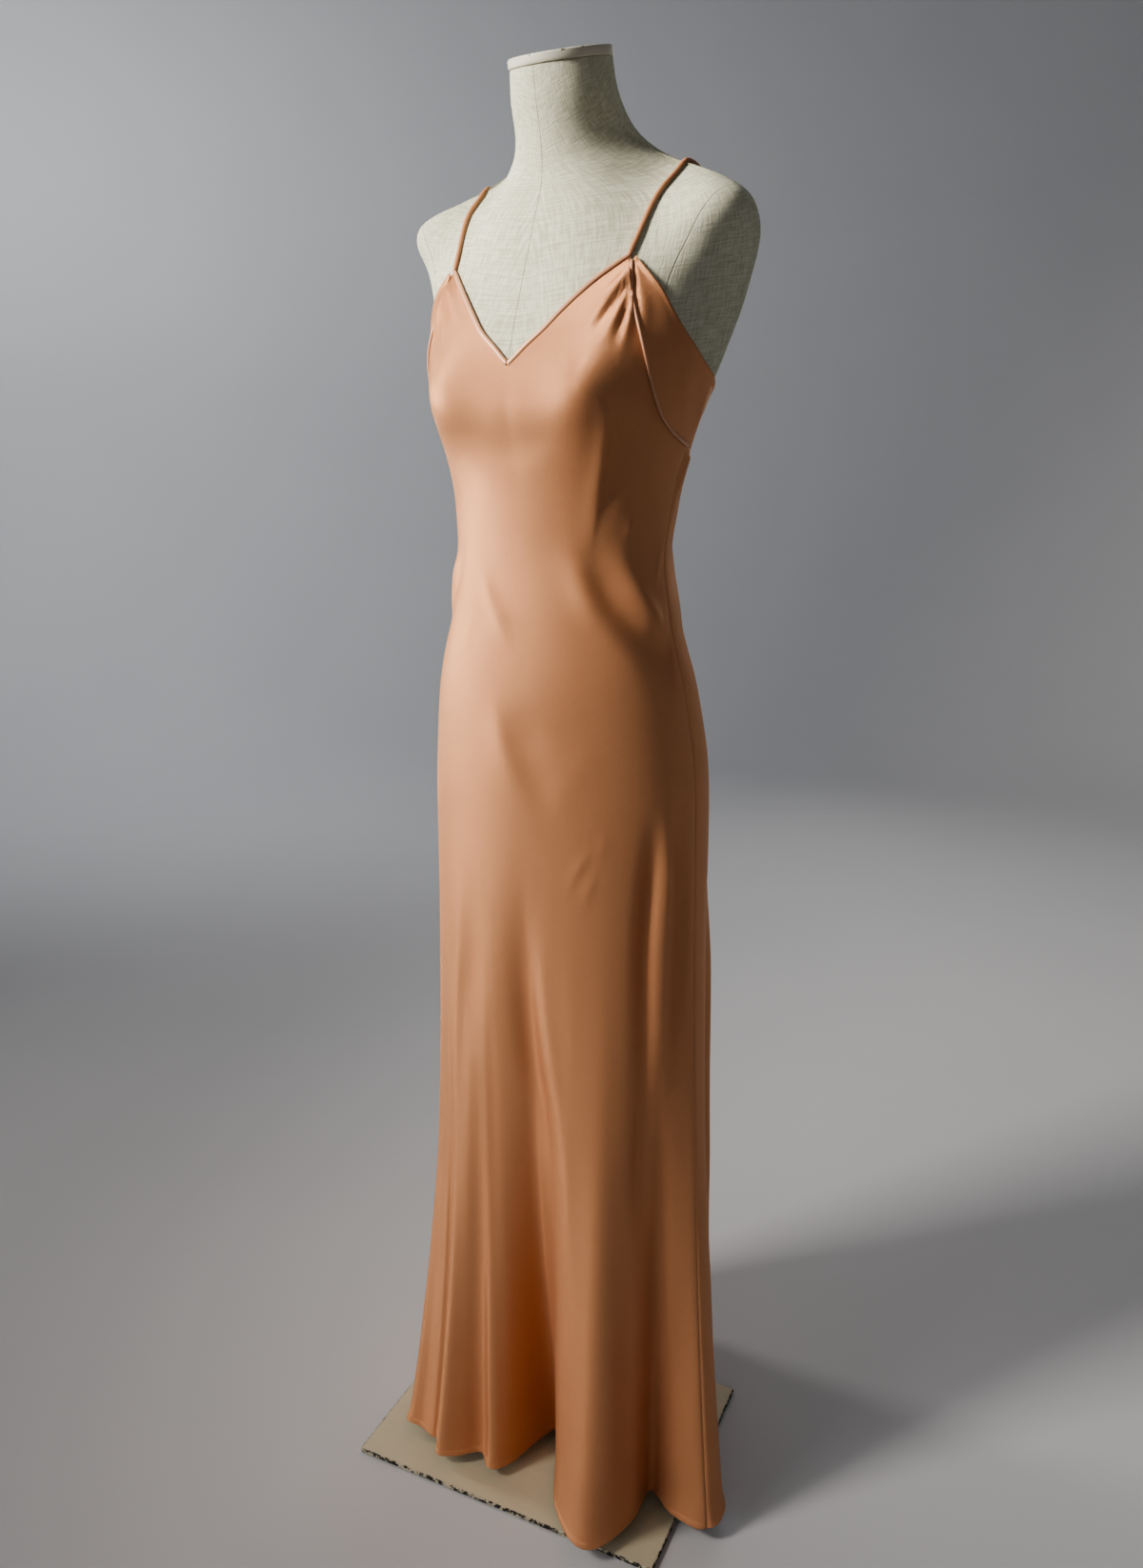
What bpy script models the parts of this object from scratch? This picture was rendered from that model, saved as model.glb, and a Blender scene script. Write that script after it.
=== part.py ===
"""A bias-cut slip dress worn by a limbless dress form on a flat base plate.

Frame: metres, +Z up, the dress faces -Y, the wearer's left side is +X.  The origin is on the floor,
under the pole.  An angle round the body is counted in degrees from the centre front: 0 front, 90 the
wearer's left side, 180 centre back, 270 the wearer's right side.
"""
import math
from collections import namedtuple

import bmesh
import bpy
import numpy as np
from mathutils import Matrix, Vector

# ---- Driving dimensions ---------------------------------------------------------------------------
CLOTH = 0.0012          # wall of the dress
EASE = 0.0025           # air between the form and the dress
SEAM_GAP = 0.0005       # gap between two pieces that are sewn together
HEM_HEIGHT = 0.020      # lowest edge of the skirt
HEM_DEPTH = 0.005       # depth of the narrow rolled hem
HEM_THICKNESS = 0.0024
HIP_LEVEL = 0.845       # the skirt hangs free below this level
SHOULDER_LEVEL = 1.236  # underarm corner, where front, back and side band meet
CHEST_ROW = 1.200       # first level row of the panels

STRAP_ANGLE = 31.0      # strap point, measured from the centre front
STRAP_HEIGHT = 1.411
UNDERARM_ANGLE = 96.0
BAND_START = 32.8       # the side band begins here, a few millimetres wide
STRAP_RADIUS = 0.0022
STRAP_AT_FRONT = 0.1025      # distance from the middle at the strap point
STRAP_AT_BACK = 0.0720       # and at the back, on the band
STRAP_AT_SHOULDER = {"left": 0.1145, "right": 0.1205}
STRAP_BACK_ANGLE = 150.0     # roughly where the straps meet the band
STRAP_CLEARANCE = 0.0024     # air between strap and form
STRAP_END_GAP = 0.006        # the strap's ends stop this far above the band
STRAP_FRONT_POINTS = 9
STRAP_BACK_POINTS = 12
BINDING_WIDTH = 0.0050
BINDING_THICKNESS = 0.0034
BINDING_START = 0.55    # degrees from the middle to the mitre at the V
BINDING_STOP = 3.0      # degrees short of the strap point
BINDING_POINTS = 10
BINDING_SIDES = 8
NECK_DROP = 0.0054      # the front stops this far below the neckline, clear of the binding
PIPING_RADIUS = 0.0011
PIPING_START = 0.6      # degrees past the start of the band
PIPING_STOP = 1.5       # degrees short of the underarm
PIPING_POINTS = 13
CORD_SIDES = 6          # sides of the cords and the straps
STRAP_POINT_DROP = 0.011     # the front stops this far below the strap point
PIPING_CLEARANCE = 0.0012    # and this far below the piped seam

FRONT_STEP = 3.2        # degrees between the front's columns
BACK_STEP = 3.5
BUST_HALF_SPACING = 0.088
BUST_HEIGHT = 1.283
BUST_FULLNESS = 0.026
BUST_SPREAD = 0.043
BUST_RISE = 0.055       # how far the fullness fades upwards
BUST_FALL = 0.056       # and downwards
BUST_BRIDGE = 0.20      # the cloth stretches across between them: share of the fullness at the middle
BUST_BRIDGE_SPREAD = 0.052
BUST_SIDE_FADE = 3.0    # how quickly the fullness dies out towards the side
CLOTH_BUST_SHARE = 0.6  # the cloth stands this share of its ease further out over the bust
HOLLOW_SHARE = 0.800    # the chest is hollow in front of each shoulder: share of the depth lost
HOLLOW_FROM_MIDDLE = 0.115
HOLLOW_HEIGHT = 1.510
HOLLOW_SPREAD = 0.048
HOLLOW_RISE = 0.068

NECK_TOP = 1.594        # last section of the covered form
CAP_THICKNESS = 0.009
CAP_OVERHANG = 0.024    # share by which the cap's rim stands proud of the neck
CAP_EDGE = 0.15         # share of the thickness that is rounded off
CAP_EDGE_SHRINK = 0.985
FORM_BOTTOM = 0.800
FORM_COLUMNS = 44
# Below the hips the form closes: height and how far the section has drawn in.
FORM_FOOT = ((FORM_BOTTOM, 0.018), (0.806, 0.010), (0.818, 0.005), (0.840, 0.0015))
FORM_ROWS = (0.890, 0.960, 1.020, 1.080, 1.130, 1.180, 1.215, 1.245, 1.270, 1.290, 1.310, 1.335, 1.365, 1.395,
             1.420, 1.440, 1.455, 1.468, 1.480, 1.490, 1.500, 1.511, 1.525, 1.545, 1.570, NECK_TOP)

PLATE_LENGTH = 0.400
PLATE_WIDTH = 0.300
PLATE_THICKNESS = 0.006
PLATE_TURN = 5.6        # degrees, anticlockwise seen from above
PLATE_CENTRE = (0.0, -0.036)
PLATE_BEVEL = 0.0008
POLE_RADIUS = 0.0125
FLANGE_RADIUS = 0.036
FLANGE_RIM = 0.005
FLANGE_NECK_FOOT = (0.022, 0.009)    # radius and height where the flange's neck begins
FLANGE_NECK_RADIUS = 0.020
FLANGE_HEIGHT = 0.028
TURNED_SEGMENTS = 24
COLLAR_RADIUS = 0.024
COLLAR_HEIGHT = 0.030
GAP = 0.0004            # between two hard pieces that touch
SHARP_ANGLE = 50.0      # edges turning more than this stay sharp
PROBE_ACROSS = 0.004    # steps used to find a surface's normal: share of a panel, degrees, metres
PROBE_ANGLE = 0.5
PROBE_HEIGHT = 0.003

# ---- Body sections, one row for each level: half width, front, back, widest point, corner power ----
Section = namedtuple("Section", "height half_width front back widest power tilt")
BODY = (
    Section(1.602, 0.0495, -0.061, 0.043, -0.009, 2.0, 15.0),
    Section(1.570, 0.0525, -0.056, 0.052, -0.006, 2.0, 13.0),
    Section(1.540, 0.0590, -0.048, 0.072, 0.018, 2.0, 10.0),
    Section(1.515, 0.0860, -0.044, 0.094, 0.042, 2.0, 8.0),
    Section(1.497, 0.1340, -0.044, 0.106, 0.040, 2.0, 6.0),
    Section(1.480, 0.1700, -0.047, 0.113, 0.024, 2.1, 4.0),
    Section(1.465, 0.1910, -0.052, 0.118, 0.016, 2.2, 2.0),
    Section(1.445, 0.1950, -0.060, 0.121, 0.025, 2.3, 0.0),
    Section(1.420, 0.1860, -0.069, 0.123, 0.046, 2.3, 0.0),
    Section(1.380, 0.1720, -0.084, 0.124, 0.053, 2.3, 0.0),
    Section(1.330, 0.1590, -0.099, 0.117, 0.035, 2.3, 0.0),
    Section(1.280, 0.1430, -0.104, 0.108, 0.022, 2.2, 0.0),
    Section(1.240, 0.1305, -0.099, 0.101, 0.012, 2.2, 0.0),
    Section(1.180, 0.1200, -0.093, 0.090, 0.000, 2.2, 0.0),
    Section(1.130, 0.1175, -0.090, 0.082, -0.006, 2.2, 0.0),
    Section(1.060, 0.1285, -0.095, 0.089, -0.006, 2.2, 0.0),
    Section(0.980, 0.1490, -0.100, 0.108, -0.002, 2.2, 0.0),
    Section(0.890, 0.1610, -0.099, 0.125, 0.006, 2.2, 0.0),
    Section(0.800, 0.1665, -0.095, 0.117, 0.006, 2.2, 0.0),
)

# ---- Edges and seams, as height against the angle from the centre front ---------------------------
EdgePoint = namedtuple("EdgePoint", "angle height")
NECKLINE = (
    EdgePoint(0.0, 1.313),
    EdgePoint(5.0, 1.329),
    EdgePoint(10.0, 1.343),
    EdgePoint(15.0, 1.361),
    EdgePoint(23.0, 1.388),
    EdgePoint(STRAP_ANGLE, STRAP_HEIGHT),
)
PIPED_SEAM = (
    EdgePoint(STRAP_ANGLE, STRAP_HEIGHT),
    EdgePoint(34.4, 1.390),
    EdgePoint(38.0, 1.370),
    EdgePoint(46.0, 1.338),
    EdgePoint(55.5, 1.304),
    EdgePoint(63.0, 1.280),
    EdgePoint(70.5, 1.262),
    EdgePoint(82.0, 1.246),
    EdgePoint(UNDERARM_ANGLE, SHOULDER_LEVEL),
    EdgePoint(140.0, 1.230),
    EdgePoint(180.0, 1.228),
)
BAND_TOP = (
    EdgePoint(STRAP_ANGLE, STRAP_HEIGHT),
    EdgePoint(41.0, 1.392),
    EdgePoint(48.0, 1.378),
    EdgePoint(55.5, 1.360),
    EdgePoint(64.5, 1.342),
    EdgePoint(73.5, 1.328),
    EdgePoint(83.5, 1.314),
    EdgePoint(96.0, 1.301),
    EdgePoint(120.0, 1.286),
    EdgePoint(150.0, 1.274),
    EdgePoint(180.0, 1.270),
)
# The side seam wanders from the underarm towards the front as it goes down.
SIDE_SEAM = (
    EdgePoint(86.0, 0.845),
    EdgePoint(88.0, 0.980),
    EdgePoint(92.0, 1.130),
    EdgePoint(94.0, 1.180),
    EdgePoint(UNDERARM_ANGLE, SHOULDER_LEVEL),
)

# ---- Skirt folds, anticlockwise from the wearer's right side -------------------------------------
# The crest of each fold at the hem, the way it points, its width, and the valley that follows it.
Fold = namedtuple("Fold", "name crest_x crest_y heading width valley_x valley_y crest_power valley_power")
FOLDS = (
    Fold("right_side", -0.205, -0.040, 190.0, 0.046, -0.168, -0.092, 2.2, 1.8),
    Fold("right_front", -0.152, -0.146, 222.0, 0.034, -0.106, -0.153, 2.4, 2.2),
    Fold("right_inner", -0.086, -0.172, 255.0, 0.036, -0.046, -0.140, 2.4, 2.2),
    Fold("centre", -0.016, -0.155, 275.0, 0.036, 0.022, -0.058, 2.2, 1.4),
    Fold("left_front", 0.140, -0.190, 289.0, 0.090, 0.168, -0.081, 1.8, 1.6),
    Fold("left_side", 0.250, -0.096, 316.0, 0.062, 0.178, -0.004, 1.75, 1.4),
    Fold("left_back", 0.187, 0.050, 22.0, 0.050, 0.128, 0.066, 1.05, 1.5),
    Fold("back_outer", 0.128, 0.134, 48.0, 0.052, 0.072, 0.112, 1.8, 1.5),
    Fold("back_inner", 0.046, 0.184, 78.0, 0.060, 0.004, 0.116, 1.8, 1.4),
    Fold("back_right", -0.056, 0.190, 104.0, 0.062, -0.090, 0.118, 1.8, 1.5),
    Fold("right_back", -0.136, 0.146, 132.0, 0.054, -0.140, 0.078, 1.8, 1.5),
    Fold("right_rear", -0.196, 0.062, 164.0, 0.052, -0.166, 0.004, 2.0, 1.7),
)
RIGHT_SEAM_FOLD = 0
LEFT_SEAM_FOLD = 5

# ---- Rows of the panels ---------------------------------------------------------------------------
FRONT_TOP_ROWS = 7
BACK_TOP_ROWS = 1
BODY_ROWS = (1.130, 1.060, 0.980, 0.910, 0.850)
SKIRT_ROWS = (0.720, 0.560, 0.400, 0.230, 0.090)
BAND_ROWS = 2

SATIN = (0.760, 0.440, 0.270)
BINDING_COLOUR = (0.700, 0.380, 0.230)
LINEN = (0.640, 0.620, 0.520)
PAINT = (0.720, 0.680, 0.530)
STEEL = (0.450, 0.450, 0.440)


# ---- Curves through tables ------------------------------------------------------------------------
def smooth_curve(knots, values, at):
    """Cubic through the knots that never overshoots them (monotone slopes)."""
    knots = np.asarray(knots, float)
    values = np.asarray(values, float)
    at = np.clip(np.asarray(at, float), knots[0], knots[-1])
    steps = np.diff(knots)
    slopes = np.diff(values) / steps
    tangents = np.empty_like(values)
    tangents[0] = slopes[0]
    tangents[-1] = slopes[-1]
    before, after = slopes[:-1], slopes[1:]
    same_way = before * after > 0.0
    mean = np.where(same_way, 2.0 * before * after / np.where(same_way, before + after, 1.0), 0.0)
    tangents[1:-1] = mean
    i = np.clip(np.searchsorted(knots, at, side="right") - 1, 0, len(steps) - 1)
    t = (at - knots[i]) / steps[i]
    h00 = (1.0 + 2.0 * t) * (1.0 - t) ** 2
    h10 = t * (1.0 - t) ** 2
    h01 = t * t * (3.0 - 2.0 * t)
    h11 = t * t * (t - 1.0)
    return (h00 * values[i] + h10 * steps[i] * tangents[i]
            + h01 * values[i + 1] + h11 * steps[i] * tangents[i + 1])


def edge_height(table, angle):
    """Height of an edge at an angle from the centre front, the same on both sides."""
    folded = np.abs((np.asarray(angle, float) + 180.0) % 360.0 - 180.0)
    return smooth_curve([p.angle for p in table], [p.height for p in table], folded)


def body_value(name, height):
    """One column of the body table, read at any height."""
    rows = BODY[::-1]
    return smooth_curve([row.height for row in rows], [getattr(row, name) for row in rows], height)


def signed_power(value, power):
    return np.sign(value) * np.abs(value) ** power


def body_point(angle, height, ease):
    """Point on the dress form's section at a height, moved out by the ease."""
    turn = np.radians(np.asarray(angle, float) - 90.0)
    exponent = 2.0 / body_value("power", height)
    widest = body_value("widest", height)
    across = signed_power(np.cos(turn), exponent)
    along = signed_power(np.sin(turn), exponent)
    before, behind = widest - body_value("front", height), body_value("back", height) - widest
    depth = np.where(along < 0.0, before, behind)
    x = (body_value("half_width", height) + ease) * across
    y = (depth + ease) * along
    spread_up = np.where(np.asarray(height) > BUST_HEIGHT, BUST_RISE, BUST_FALL)
    fullness = np.exp(-((np.abs(x) - BUST_HALF_SPACING) / BUST_SPREAD) ** 2
                      - ((height - BUST_HEIGHT) / spread_up) ** 2)
    bridge = np.exp(-(x / BUST_BRIDGE_SPREAD) ** 2 - ((height - BUST_HEIGHT) / spread_up) ** 2)
    fullness = fullness + BUST_BRIDGE * bridge
    fullness = fullness * np.clip(-BUST_SIDE_FADE * along, 0.0, 1.0)
    fullness = fullness * (BUST_FULLNESS + CLOTH_BUST_SHARE * ease)
    hollow = np.exp(-((np.abs(x) - HOLLOW_FROM_MIDDLE) / HOLLOW_SPREAD) ** 2
                    - ((height - HOLLOW_HEIGHT) / HOLLOW_RISE) ** 2)
    y = y * np.where(along < 0.0, 1.0 - HOLLOW_SHARE * hollow, 1.0)
    tilt = np.radians(body_value("tilt", height))
    placed = (x, widest + y * np.cos(tilt) - fullness, height + y * np.sin(tilt))
    return np.stack(np.broadcast_arrays(*placed), -1)


# ---- Hem outline from the fold table --------------------------------------------------------------
HEM_SAMPLES = 10


def fold_points(fold):
    """Shoulder, crest, shoulder and valley of one fold, each with its hanging power."""
    heading = math.radians(fold.heading)
    out = np.array([math.cos(heading), math.sin(heading)])
    side = np.array([-out[1], out[0]])
    crest = np.array([fold.crest_x, fold.crest_y])
    middle = crest - 0.5 * fold.width * out
    near = middle - 0.5 * fold.width * side
    far = middle + 0.5 * fold.width * side
    valley = (fold.valley_x, fold.valley_y)
    return [(*near, fold.crest_power), (*crest, fold.crest_power), (*far, fold.crest_power),
            (*valley, fold.valley_power)]


def hem_outline():
    """Closed rounded curve through all the folds, and where each side seam falls on it."""
    points = np.array([p for fold in FOLDS for p in fold_points(fold)])
    count = len(points)
    samples = []
    for i in range(count):
        p0, p1, p2, p3 = (points[(i + k) % count] for k in (-1, 0, 1, 2))
        spans = [max(np.linalg.norm((b - a)[:2]), 1e-6) ** 0.5 for a, b in ((p0, p1), (p1, p2), (p2, p3))]
        t0, t1, t2, t3 = np.cumsum([0.0] + spans)
        for t in np.linspace(t1, t2, HEM_SAMPLES, endpoint=False):
            a1 = (p0 * (t1 - t) + p1 * (t - t0)) / (t1 - t0)
            a2 = (p1 * (t2 - t) + p2 * (t - t1)) / (t2 - t1)
            a3 = (p2 * (t3 - t) + p3 * (t - t2)) / (t3 - t2)
            b1 = (a1 * (t2 - t) + a2 * (t - t0)) / (t2 - t0)
            b2 = (a2 * (t3 - t) + a3 * (t - t1)) / (t3 - t1)
            samples.append((b1 * (t2 - t) + b2 * (t - t1)) / (t2 - t1))
    crest_sample = [(4 * fold + 1) * HEM_SAMPLES for fold in (RIGHT_SEAM_FOLD, LEFT_SEAM_FOLD)]
    return np.array(samples), crest_sample


def arc_fraction(points):
    """Running length of a line of points, from 0 to 1."""
    steps = np.linalg.norm(np.diff(points[:, :2], axis=0), axis=1)
    length = np.concatenate([[0.0], np.cumsum(steps)])
    return length / length[-1]


def hem_stretches():
    """The hem of the front and of the back, each as columns fraction, x, y and power."""
    outline, (right, left) = hem_outline()
    front = outline[right:left + 1]
    back = np.concatenate([outline[left:], outline[:right + 1]])
    stretches = (("front", front), ("back", back))
    return {name: np.column_stack([arc_fraction(line), line]) for name, line in stretches}


HEM = hem_stretches()


# ---- The dress surface ----------------------------------------------------------------------------
def side_angle(height):
    return smooth_curve([p.height for p in SIDE_SEAM], [p.angle for p in SIDE_SEAM], height)


def panel_angle(panel, across, height):
    """Angle round the body of a place across a panel, 0 at one side seam and 1 at the other."""
    side = side_angle(height)
    if panel == "front":
        return side * (2.0 * across - 1.0)
    return side + across * (360.0 - 2.0 * side)


def hip_fraction(panel, across):
    """How much of the hip's girth on this panel lies before a place across it."""
    places = np.linspace(0.0, 1.0, 121)
    ring = body_point(panel_angle(panel, places, HIP_LEVEL), HIP_LEVEL, EASE)
    return np.interp(across, places, arc_fraction(ring))


def dress_point(panel, across, height):
    """Inner face of the dress: on the body's sections above the hip, hanging into folds below it."""
    across = np.asarray(across, float)
    height = np.asarray(height, float)
    level = np.maximum(height, HIP_LEVEL)
    worn = body_point(panel_angle(panel, across, level), level, EASE)
    share = hip_fraction(panel, across)
    table = HEM[panel]
    hem_x, hem_y, power = (np.interp(share, table[:, 0], table[:, k]) for k in (1, 2, 3))
    drop = np.clip((HIP_LEVEL - height) / (HIP_LEVEL - HEM_HEIGHT), 0.0, 1.0) ** power
    x = worn[..., 0] + (hem_x - worn[..., 0]) * drop
    y = worn[..., 1] + (hem_y - worn[..., 1]) * drop
    return np.stack(np.broadcast_arrays(x, y, height), -1)


def outward(point_at, across, height, step):
    """Unit normals of a surface given as a function of place and height."""
    along = point_at(across + step, height) - point_at(across - step, height)
    up = point_at(across, height + PROBE_HEIGHT) - point_at(across, height - PROBE_HEIGHT)
    normal = np.cross(along, up)
    return normal / np.linalg.norm(normal, axis=-1, keepdims=True)


# ---- Mesh making ----------------------------------------------------------------------------------
def material(name, colour, roughness, metallic=0.0):
    made = bpy.data.materials.get(name)
    if made is None:
        made = bpy.data.materials.new(name)
        made.use_nodes = True
        shader = made.node_tree.nodes["Principled BSDF"]
        shader.inputs["Base Color"].default_value = (*colour, 1.0)
        shader.inputs["Roughness"].default_value = roughness
        shader.inputs["Metallic"].default_value = metallic
        made.diffuse_color = (*colour, 1.0)
    return made


def add_object(name, bm, look):
    """Turn a finished bmesh into a named object with its material."""
    bmesh.ops.recalc_face_normals(bm, faces=bm.faces)
    mesh = bpy.data.meshes.new(name)
    bm.to_mesh(mesh)
    bm.free()
    mesh.materials.append(look)
    mesh.shade_smooth()
    mesh.set_sharp_from_angle(angle=math.radians(SHARP_ANGLE))
    placed = bpy.data.objects.new(name, mesh)
    bpy.context.scene.collection.objects.link(placed)
    return placed


def wall(name, inner, outer, look):
    """Closed sheet between two grids of points of the same size."""
    rows, columns = inner.shape[:2]
    bm = bmesh.new()
    sheets = [[[bm.verts.new(p) for p in row] for row in grid] for grid in (outer, inner)]
    for sheet in sheets:
        for i in range(rows - 1):
            for j in range(columns - 1):
                bm.faces.new((sheet[i][j], sheet[i][j + 1], sheet[i + 1][j + 1], sheet[i + 1][j]))
    out, back = sheets
    for j in range(columns - 1):
        for i in (0, rows - 1):
            bm.faces.new((out[i][j], out[i][j + 1], back[i][j + 1], back[i][j]))
    for i in range(rows - 1):
        for j in (0, columns - 1):
            bm.faces.new((out[i][j], out[i + 1][j], back[i + 1][j], back[i][j]))
    bmesh.ops.triangulate(bm, faces=bm.faces, quad_method="SHORT_EDGE")
    return add_object(name, bm, look)


def loft(name, rings, look):
    """Closed solid through rings of points, with a flat face on each end."""
    bm = bmesh.new()
    loops = [[bm.verts.new(p) for p in ring] for ring in rings]
    count = len(loops[0])
    for low, high in zip(loops, loops[1:]):
        for j in range(count):
            k = (j + 1) % count
            bm.faces.new((low[j], low[k], high[k], high[j]))
    bm.faces.new(loops[0])
    bm.faces.new(loops[-1])
    bmesh.ops.triangulate(bm, faces=[f for f in bm.faces if len(f.verts) == 4], quad_method="SHORT_EDGE")
    return add_object(name, bm, look)


def tube(name, path, normals, width, thickness, sides, look):
    """Soft band along a path: an oval section, wide along the cloth and thin across it."""
    path = np.asarray(path, float)
    tangents = np.gradient(path, axis=0)
    tangents /= np.linalg.norm(tangents, axis=1, keepdims=True)
    rings = []
    for point, tangent, normal in zip(path, tangents, normals):
        across = np.cross(tangent, normal)
        across /= np.linalg.norm(across)
        up = np.cross(across, tangent)
        turns = 2.0 * math.pi * np.arange(sides) / sides
        rings.append([point + 0.5 * width * math.cos(t) * across + 0.5 * thickness * math.sin(t) * up
                      for t in turns])
    return loft(name, rings, look)


# ---- The dress ------------------------------------------------------------------------------------
def panel_heights(top, top_rows):
    """Heights down one column: evenly to the chest row, then the level rows and the rolled hem."""
    upper = list(np.linspace(top, CHEST_ROW, top_rows + 1))
    return upper + list(BODY_ROWS) + list(SKIRT_ROWS) + [HEM_HEIGHT + HEM_DEPTH, HEM_HEIGHT]


def panel_top(panel, angle):
    """Upper edge of a panel, clear of the binding at the neck and of the band at the seam."""
    if panel == "back":
        return edge_height(PIPED_SEAM, angle) - SEAM_GAP
    folded = np.abs(angle)
    neck = edge_height(NECKLINE, angle) - NECK_DROP
    seam = edge_height(PIPED_SEAM, angle) - SEAM_GAP
    neck = np.minimum(neck, STRAP_HEIGHT - STRAP_POINT_DROP)
    return np.where(folded < STRAP_ANGLE, neck, seam - PIPING_CLEARANCE)


def make_panel(panel, columns, top_rows, look):
    """Front or back, cut in one piece from its upper edge to the hem."""
    across = np.linspace(0.0, 1.0, columns + 1)
    tops = panel_top(panel, panel_angle(panel, across, SHOULDER_LEVEL))
    heights = np.array([panel_heights(top, top_rows) for top in tops]).T
    places = np.broadcast_to(across, heights.shape)

    def surface(place, height):
        return dress_point(panel, place, height)

    inner = surface(places, heights)
    normals = outward(surface, places, heights, PROBE_ACROSS)
    thickness = np.full(heights.shape, CLOTH)
    thickness[-2:] = HEM_THICKNESS
    inner = inner - normals * (0.5 * (thickness - CLOTH))[..., None]
    outer = inner + normals * thickness[..., None]
    for column, neighbour in ((0, 1), (-1, -2)):
        for grid in (inner, outer):
            inwards = grid[:, neighbour] - grid[:, column]
            inwards /= np.linalg.norm(inwards, axis=1, keepdims=True)
            grid[:, column] += inwards * 0.5 * SEAM_GAP
    return wall(panel, inner, outer, look)


def make_band(look):
    """Side and back band: from one strap point down under the arm, round the back, to the other."""
    first = math.ceil(BAND_START / FRONT_STEP)
    last = int(round(UNDERARM_ANGLE / FRONT_STEP))
    left = [BAND_START] + [FRONT_STEP * k for k in range(first, last + 1)]
    back = list(np.arange(UNDERARM_ANGLE + BACK_STEP, 360.0 - UNDERARM_ANGLE - 0.01, BACK_STEP))
    right = [360.0 - angle for angle in reversed(left)]
    angles = np.array(left + back + right)
    lower = edge_height(PIPED_SEAM, angles) + SEAM_GAP
    upper = edge_height(BAND_TOP, angles)
    levels = np.linspace(0.0, 1.0, BAND_ROWS + 1)[:, None]
    heights = lower + (upper - lower) * levels
    places = np.broadcast_to(angles, heights.shape)

    def surface(angle, height):
        return body_point(angle, height, EASE)

    inner = surface(places, heights)
    normals = outward(surface, places, heights, PROBE_ANGLE)
    return wall("side_back_band", inner, inner + normals * CLOTH, look)


def edge_path(table, angles, side, out):
    """Points and normals along an edge of the dress, moved out from the cloth's inner face."""
    angles = np.asarray(angles, float) * side
    heights = edge_height(table, angles)

    def surface(angle, height):
        return body_point(angle, height, EASE)

    normals = outward(surface, angles, heights, PROBE_ANGLE)
    return surface(angles, heights) + normals * out, normals


def make_trims(look, trim_look):
    """Neck bindings, piped seams and shoulder straps, one of each on either side."""
    middle = 0.5 * CLOTH
    for side, name in ((1, "left"), (-1, "right")):
        angles = np.linspace(BINDING_START, STRAP_ANGLE - BINDING_STOP, BINDING_POINTS)
        path, normals = edge_path(NECKLINE, angles, side, middle)
        path[0, 0] = side * 0.5 * (BINDING_THICKNESS + SEAM_GAP)
        tube("neck_binding_" + name, path, normals, BINDING_WIDTH, BINDING_THICKNESS, BINDING_SIDES,
             trim_look)
        angles = np.linspace(BAND_START + PIPING_START, UNDERARM_ANGLE - PIPING_STOP, PIPING_POINTS)
        out = CLOTH + PIPING_RADIUS + SEAM_GAP
        path, normals = edge_path(PIPED_SEAM, angles, side, out)
        thickness = 2 * PIPING_RADIUS
        tube("seam_piping_" + name, path, normals, thickness, thickness, CORD_SIDES, trim_look)
        path, normals = strap_path(name, side)
        tube("strap_" + name, path, normals, 2 * STRAP_RADIUS, 2 * STRAP_RADIUS, CORD_SIDES, look)


def shoulder_height(distance):
    """Height at which the form is as wide as the strap's distance from the middle."""
    heights = np.linspace(BODY[6].height, BODY[2].height, 400)
    widths = body_value("half_width", heights)
    return float(np.interp(-distance, -widths, heights))


def strap_path(name, side):
    """Over the shoulder on the form: up the front from the strap point, down the back to the band."""
    shoulder = STRAP_AT_SHOULDER[name]
    crossing = shoulder_height(shoulder)
    front_end = STRAP_HEIGHT + STRAP_END_GAP
    back_end = edge_height(BAND_TOP, STRAP_BACK_ANGLE) + STRAP_END_GAP
    rise = np.sin(np.linspace(0.0, 0.5 * math.pi, STRAP_FRONT_POINTS))
    fall = 1.0 - np.cos(np.linspace(0.0, 0.5 * math.pi, STRAP_BACK_POINTS))[1:]
    heights = np.concatenate([front_end + (crossing - front_end) * rise,
                              crossing + (back_end - crossing) * fall])
    from_middle = np.concatenate([STRAP_AT_FRONT + (shoulder - STRAP_AT_FRONT) * rise,
                                  shoulder + (STRAP_AT_BACK - shoulder) * fall])
    ratio = np.clip(from_middle / body_value("half_width", heights), 0.0, 1.0)
    lean = np.degrees(np.arccos(ratio ** (0.5 * body_value("power", heights))))
    at_back = np.arange(len(heights)) >= STRAP_FRONT_POINTS
    angles = side * np.where(at_back, 90.0 + lean, 90.0 - lean)

    def surface(angle, height):
        return body_point(angle, height, 0.0)

    normals = outward(surface, angles, heights, PROBE_ANGLE)
    return surface(angles, heights) + normals * (STRAP_RADIUS + STRAP_CLEARANCE), normals


# ---- The dress form and its stand -----------------------------------------------------------------
def make_form(look, paint, steel):
    angles = np.arange(FORM_COLUMNS) * 360.0 / FORM_COLUMNS
    rings = [body_point(angles, np.full(FORM_COLUMNS, height), 0.0) for height in FORM_ROWS]
    rims = [body_point(angles, np.full(FORM_COLUMNS, height), -inset) for height, inset in FORM_FOOT]
    loft("form_body", rims + rings, look)
    make_neck_cap(angles, paint)
    make_stand(paint, steel)


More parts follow.
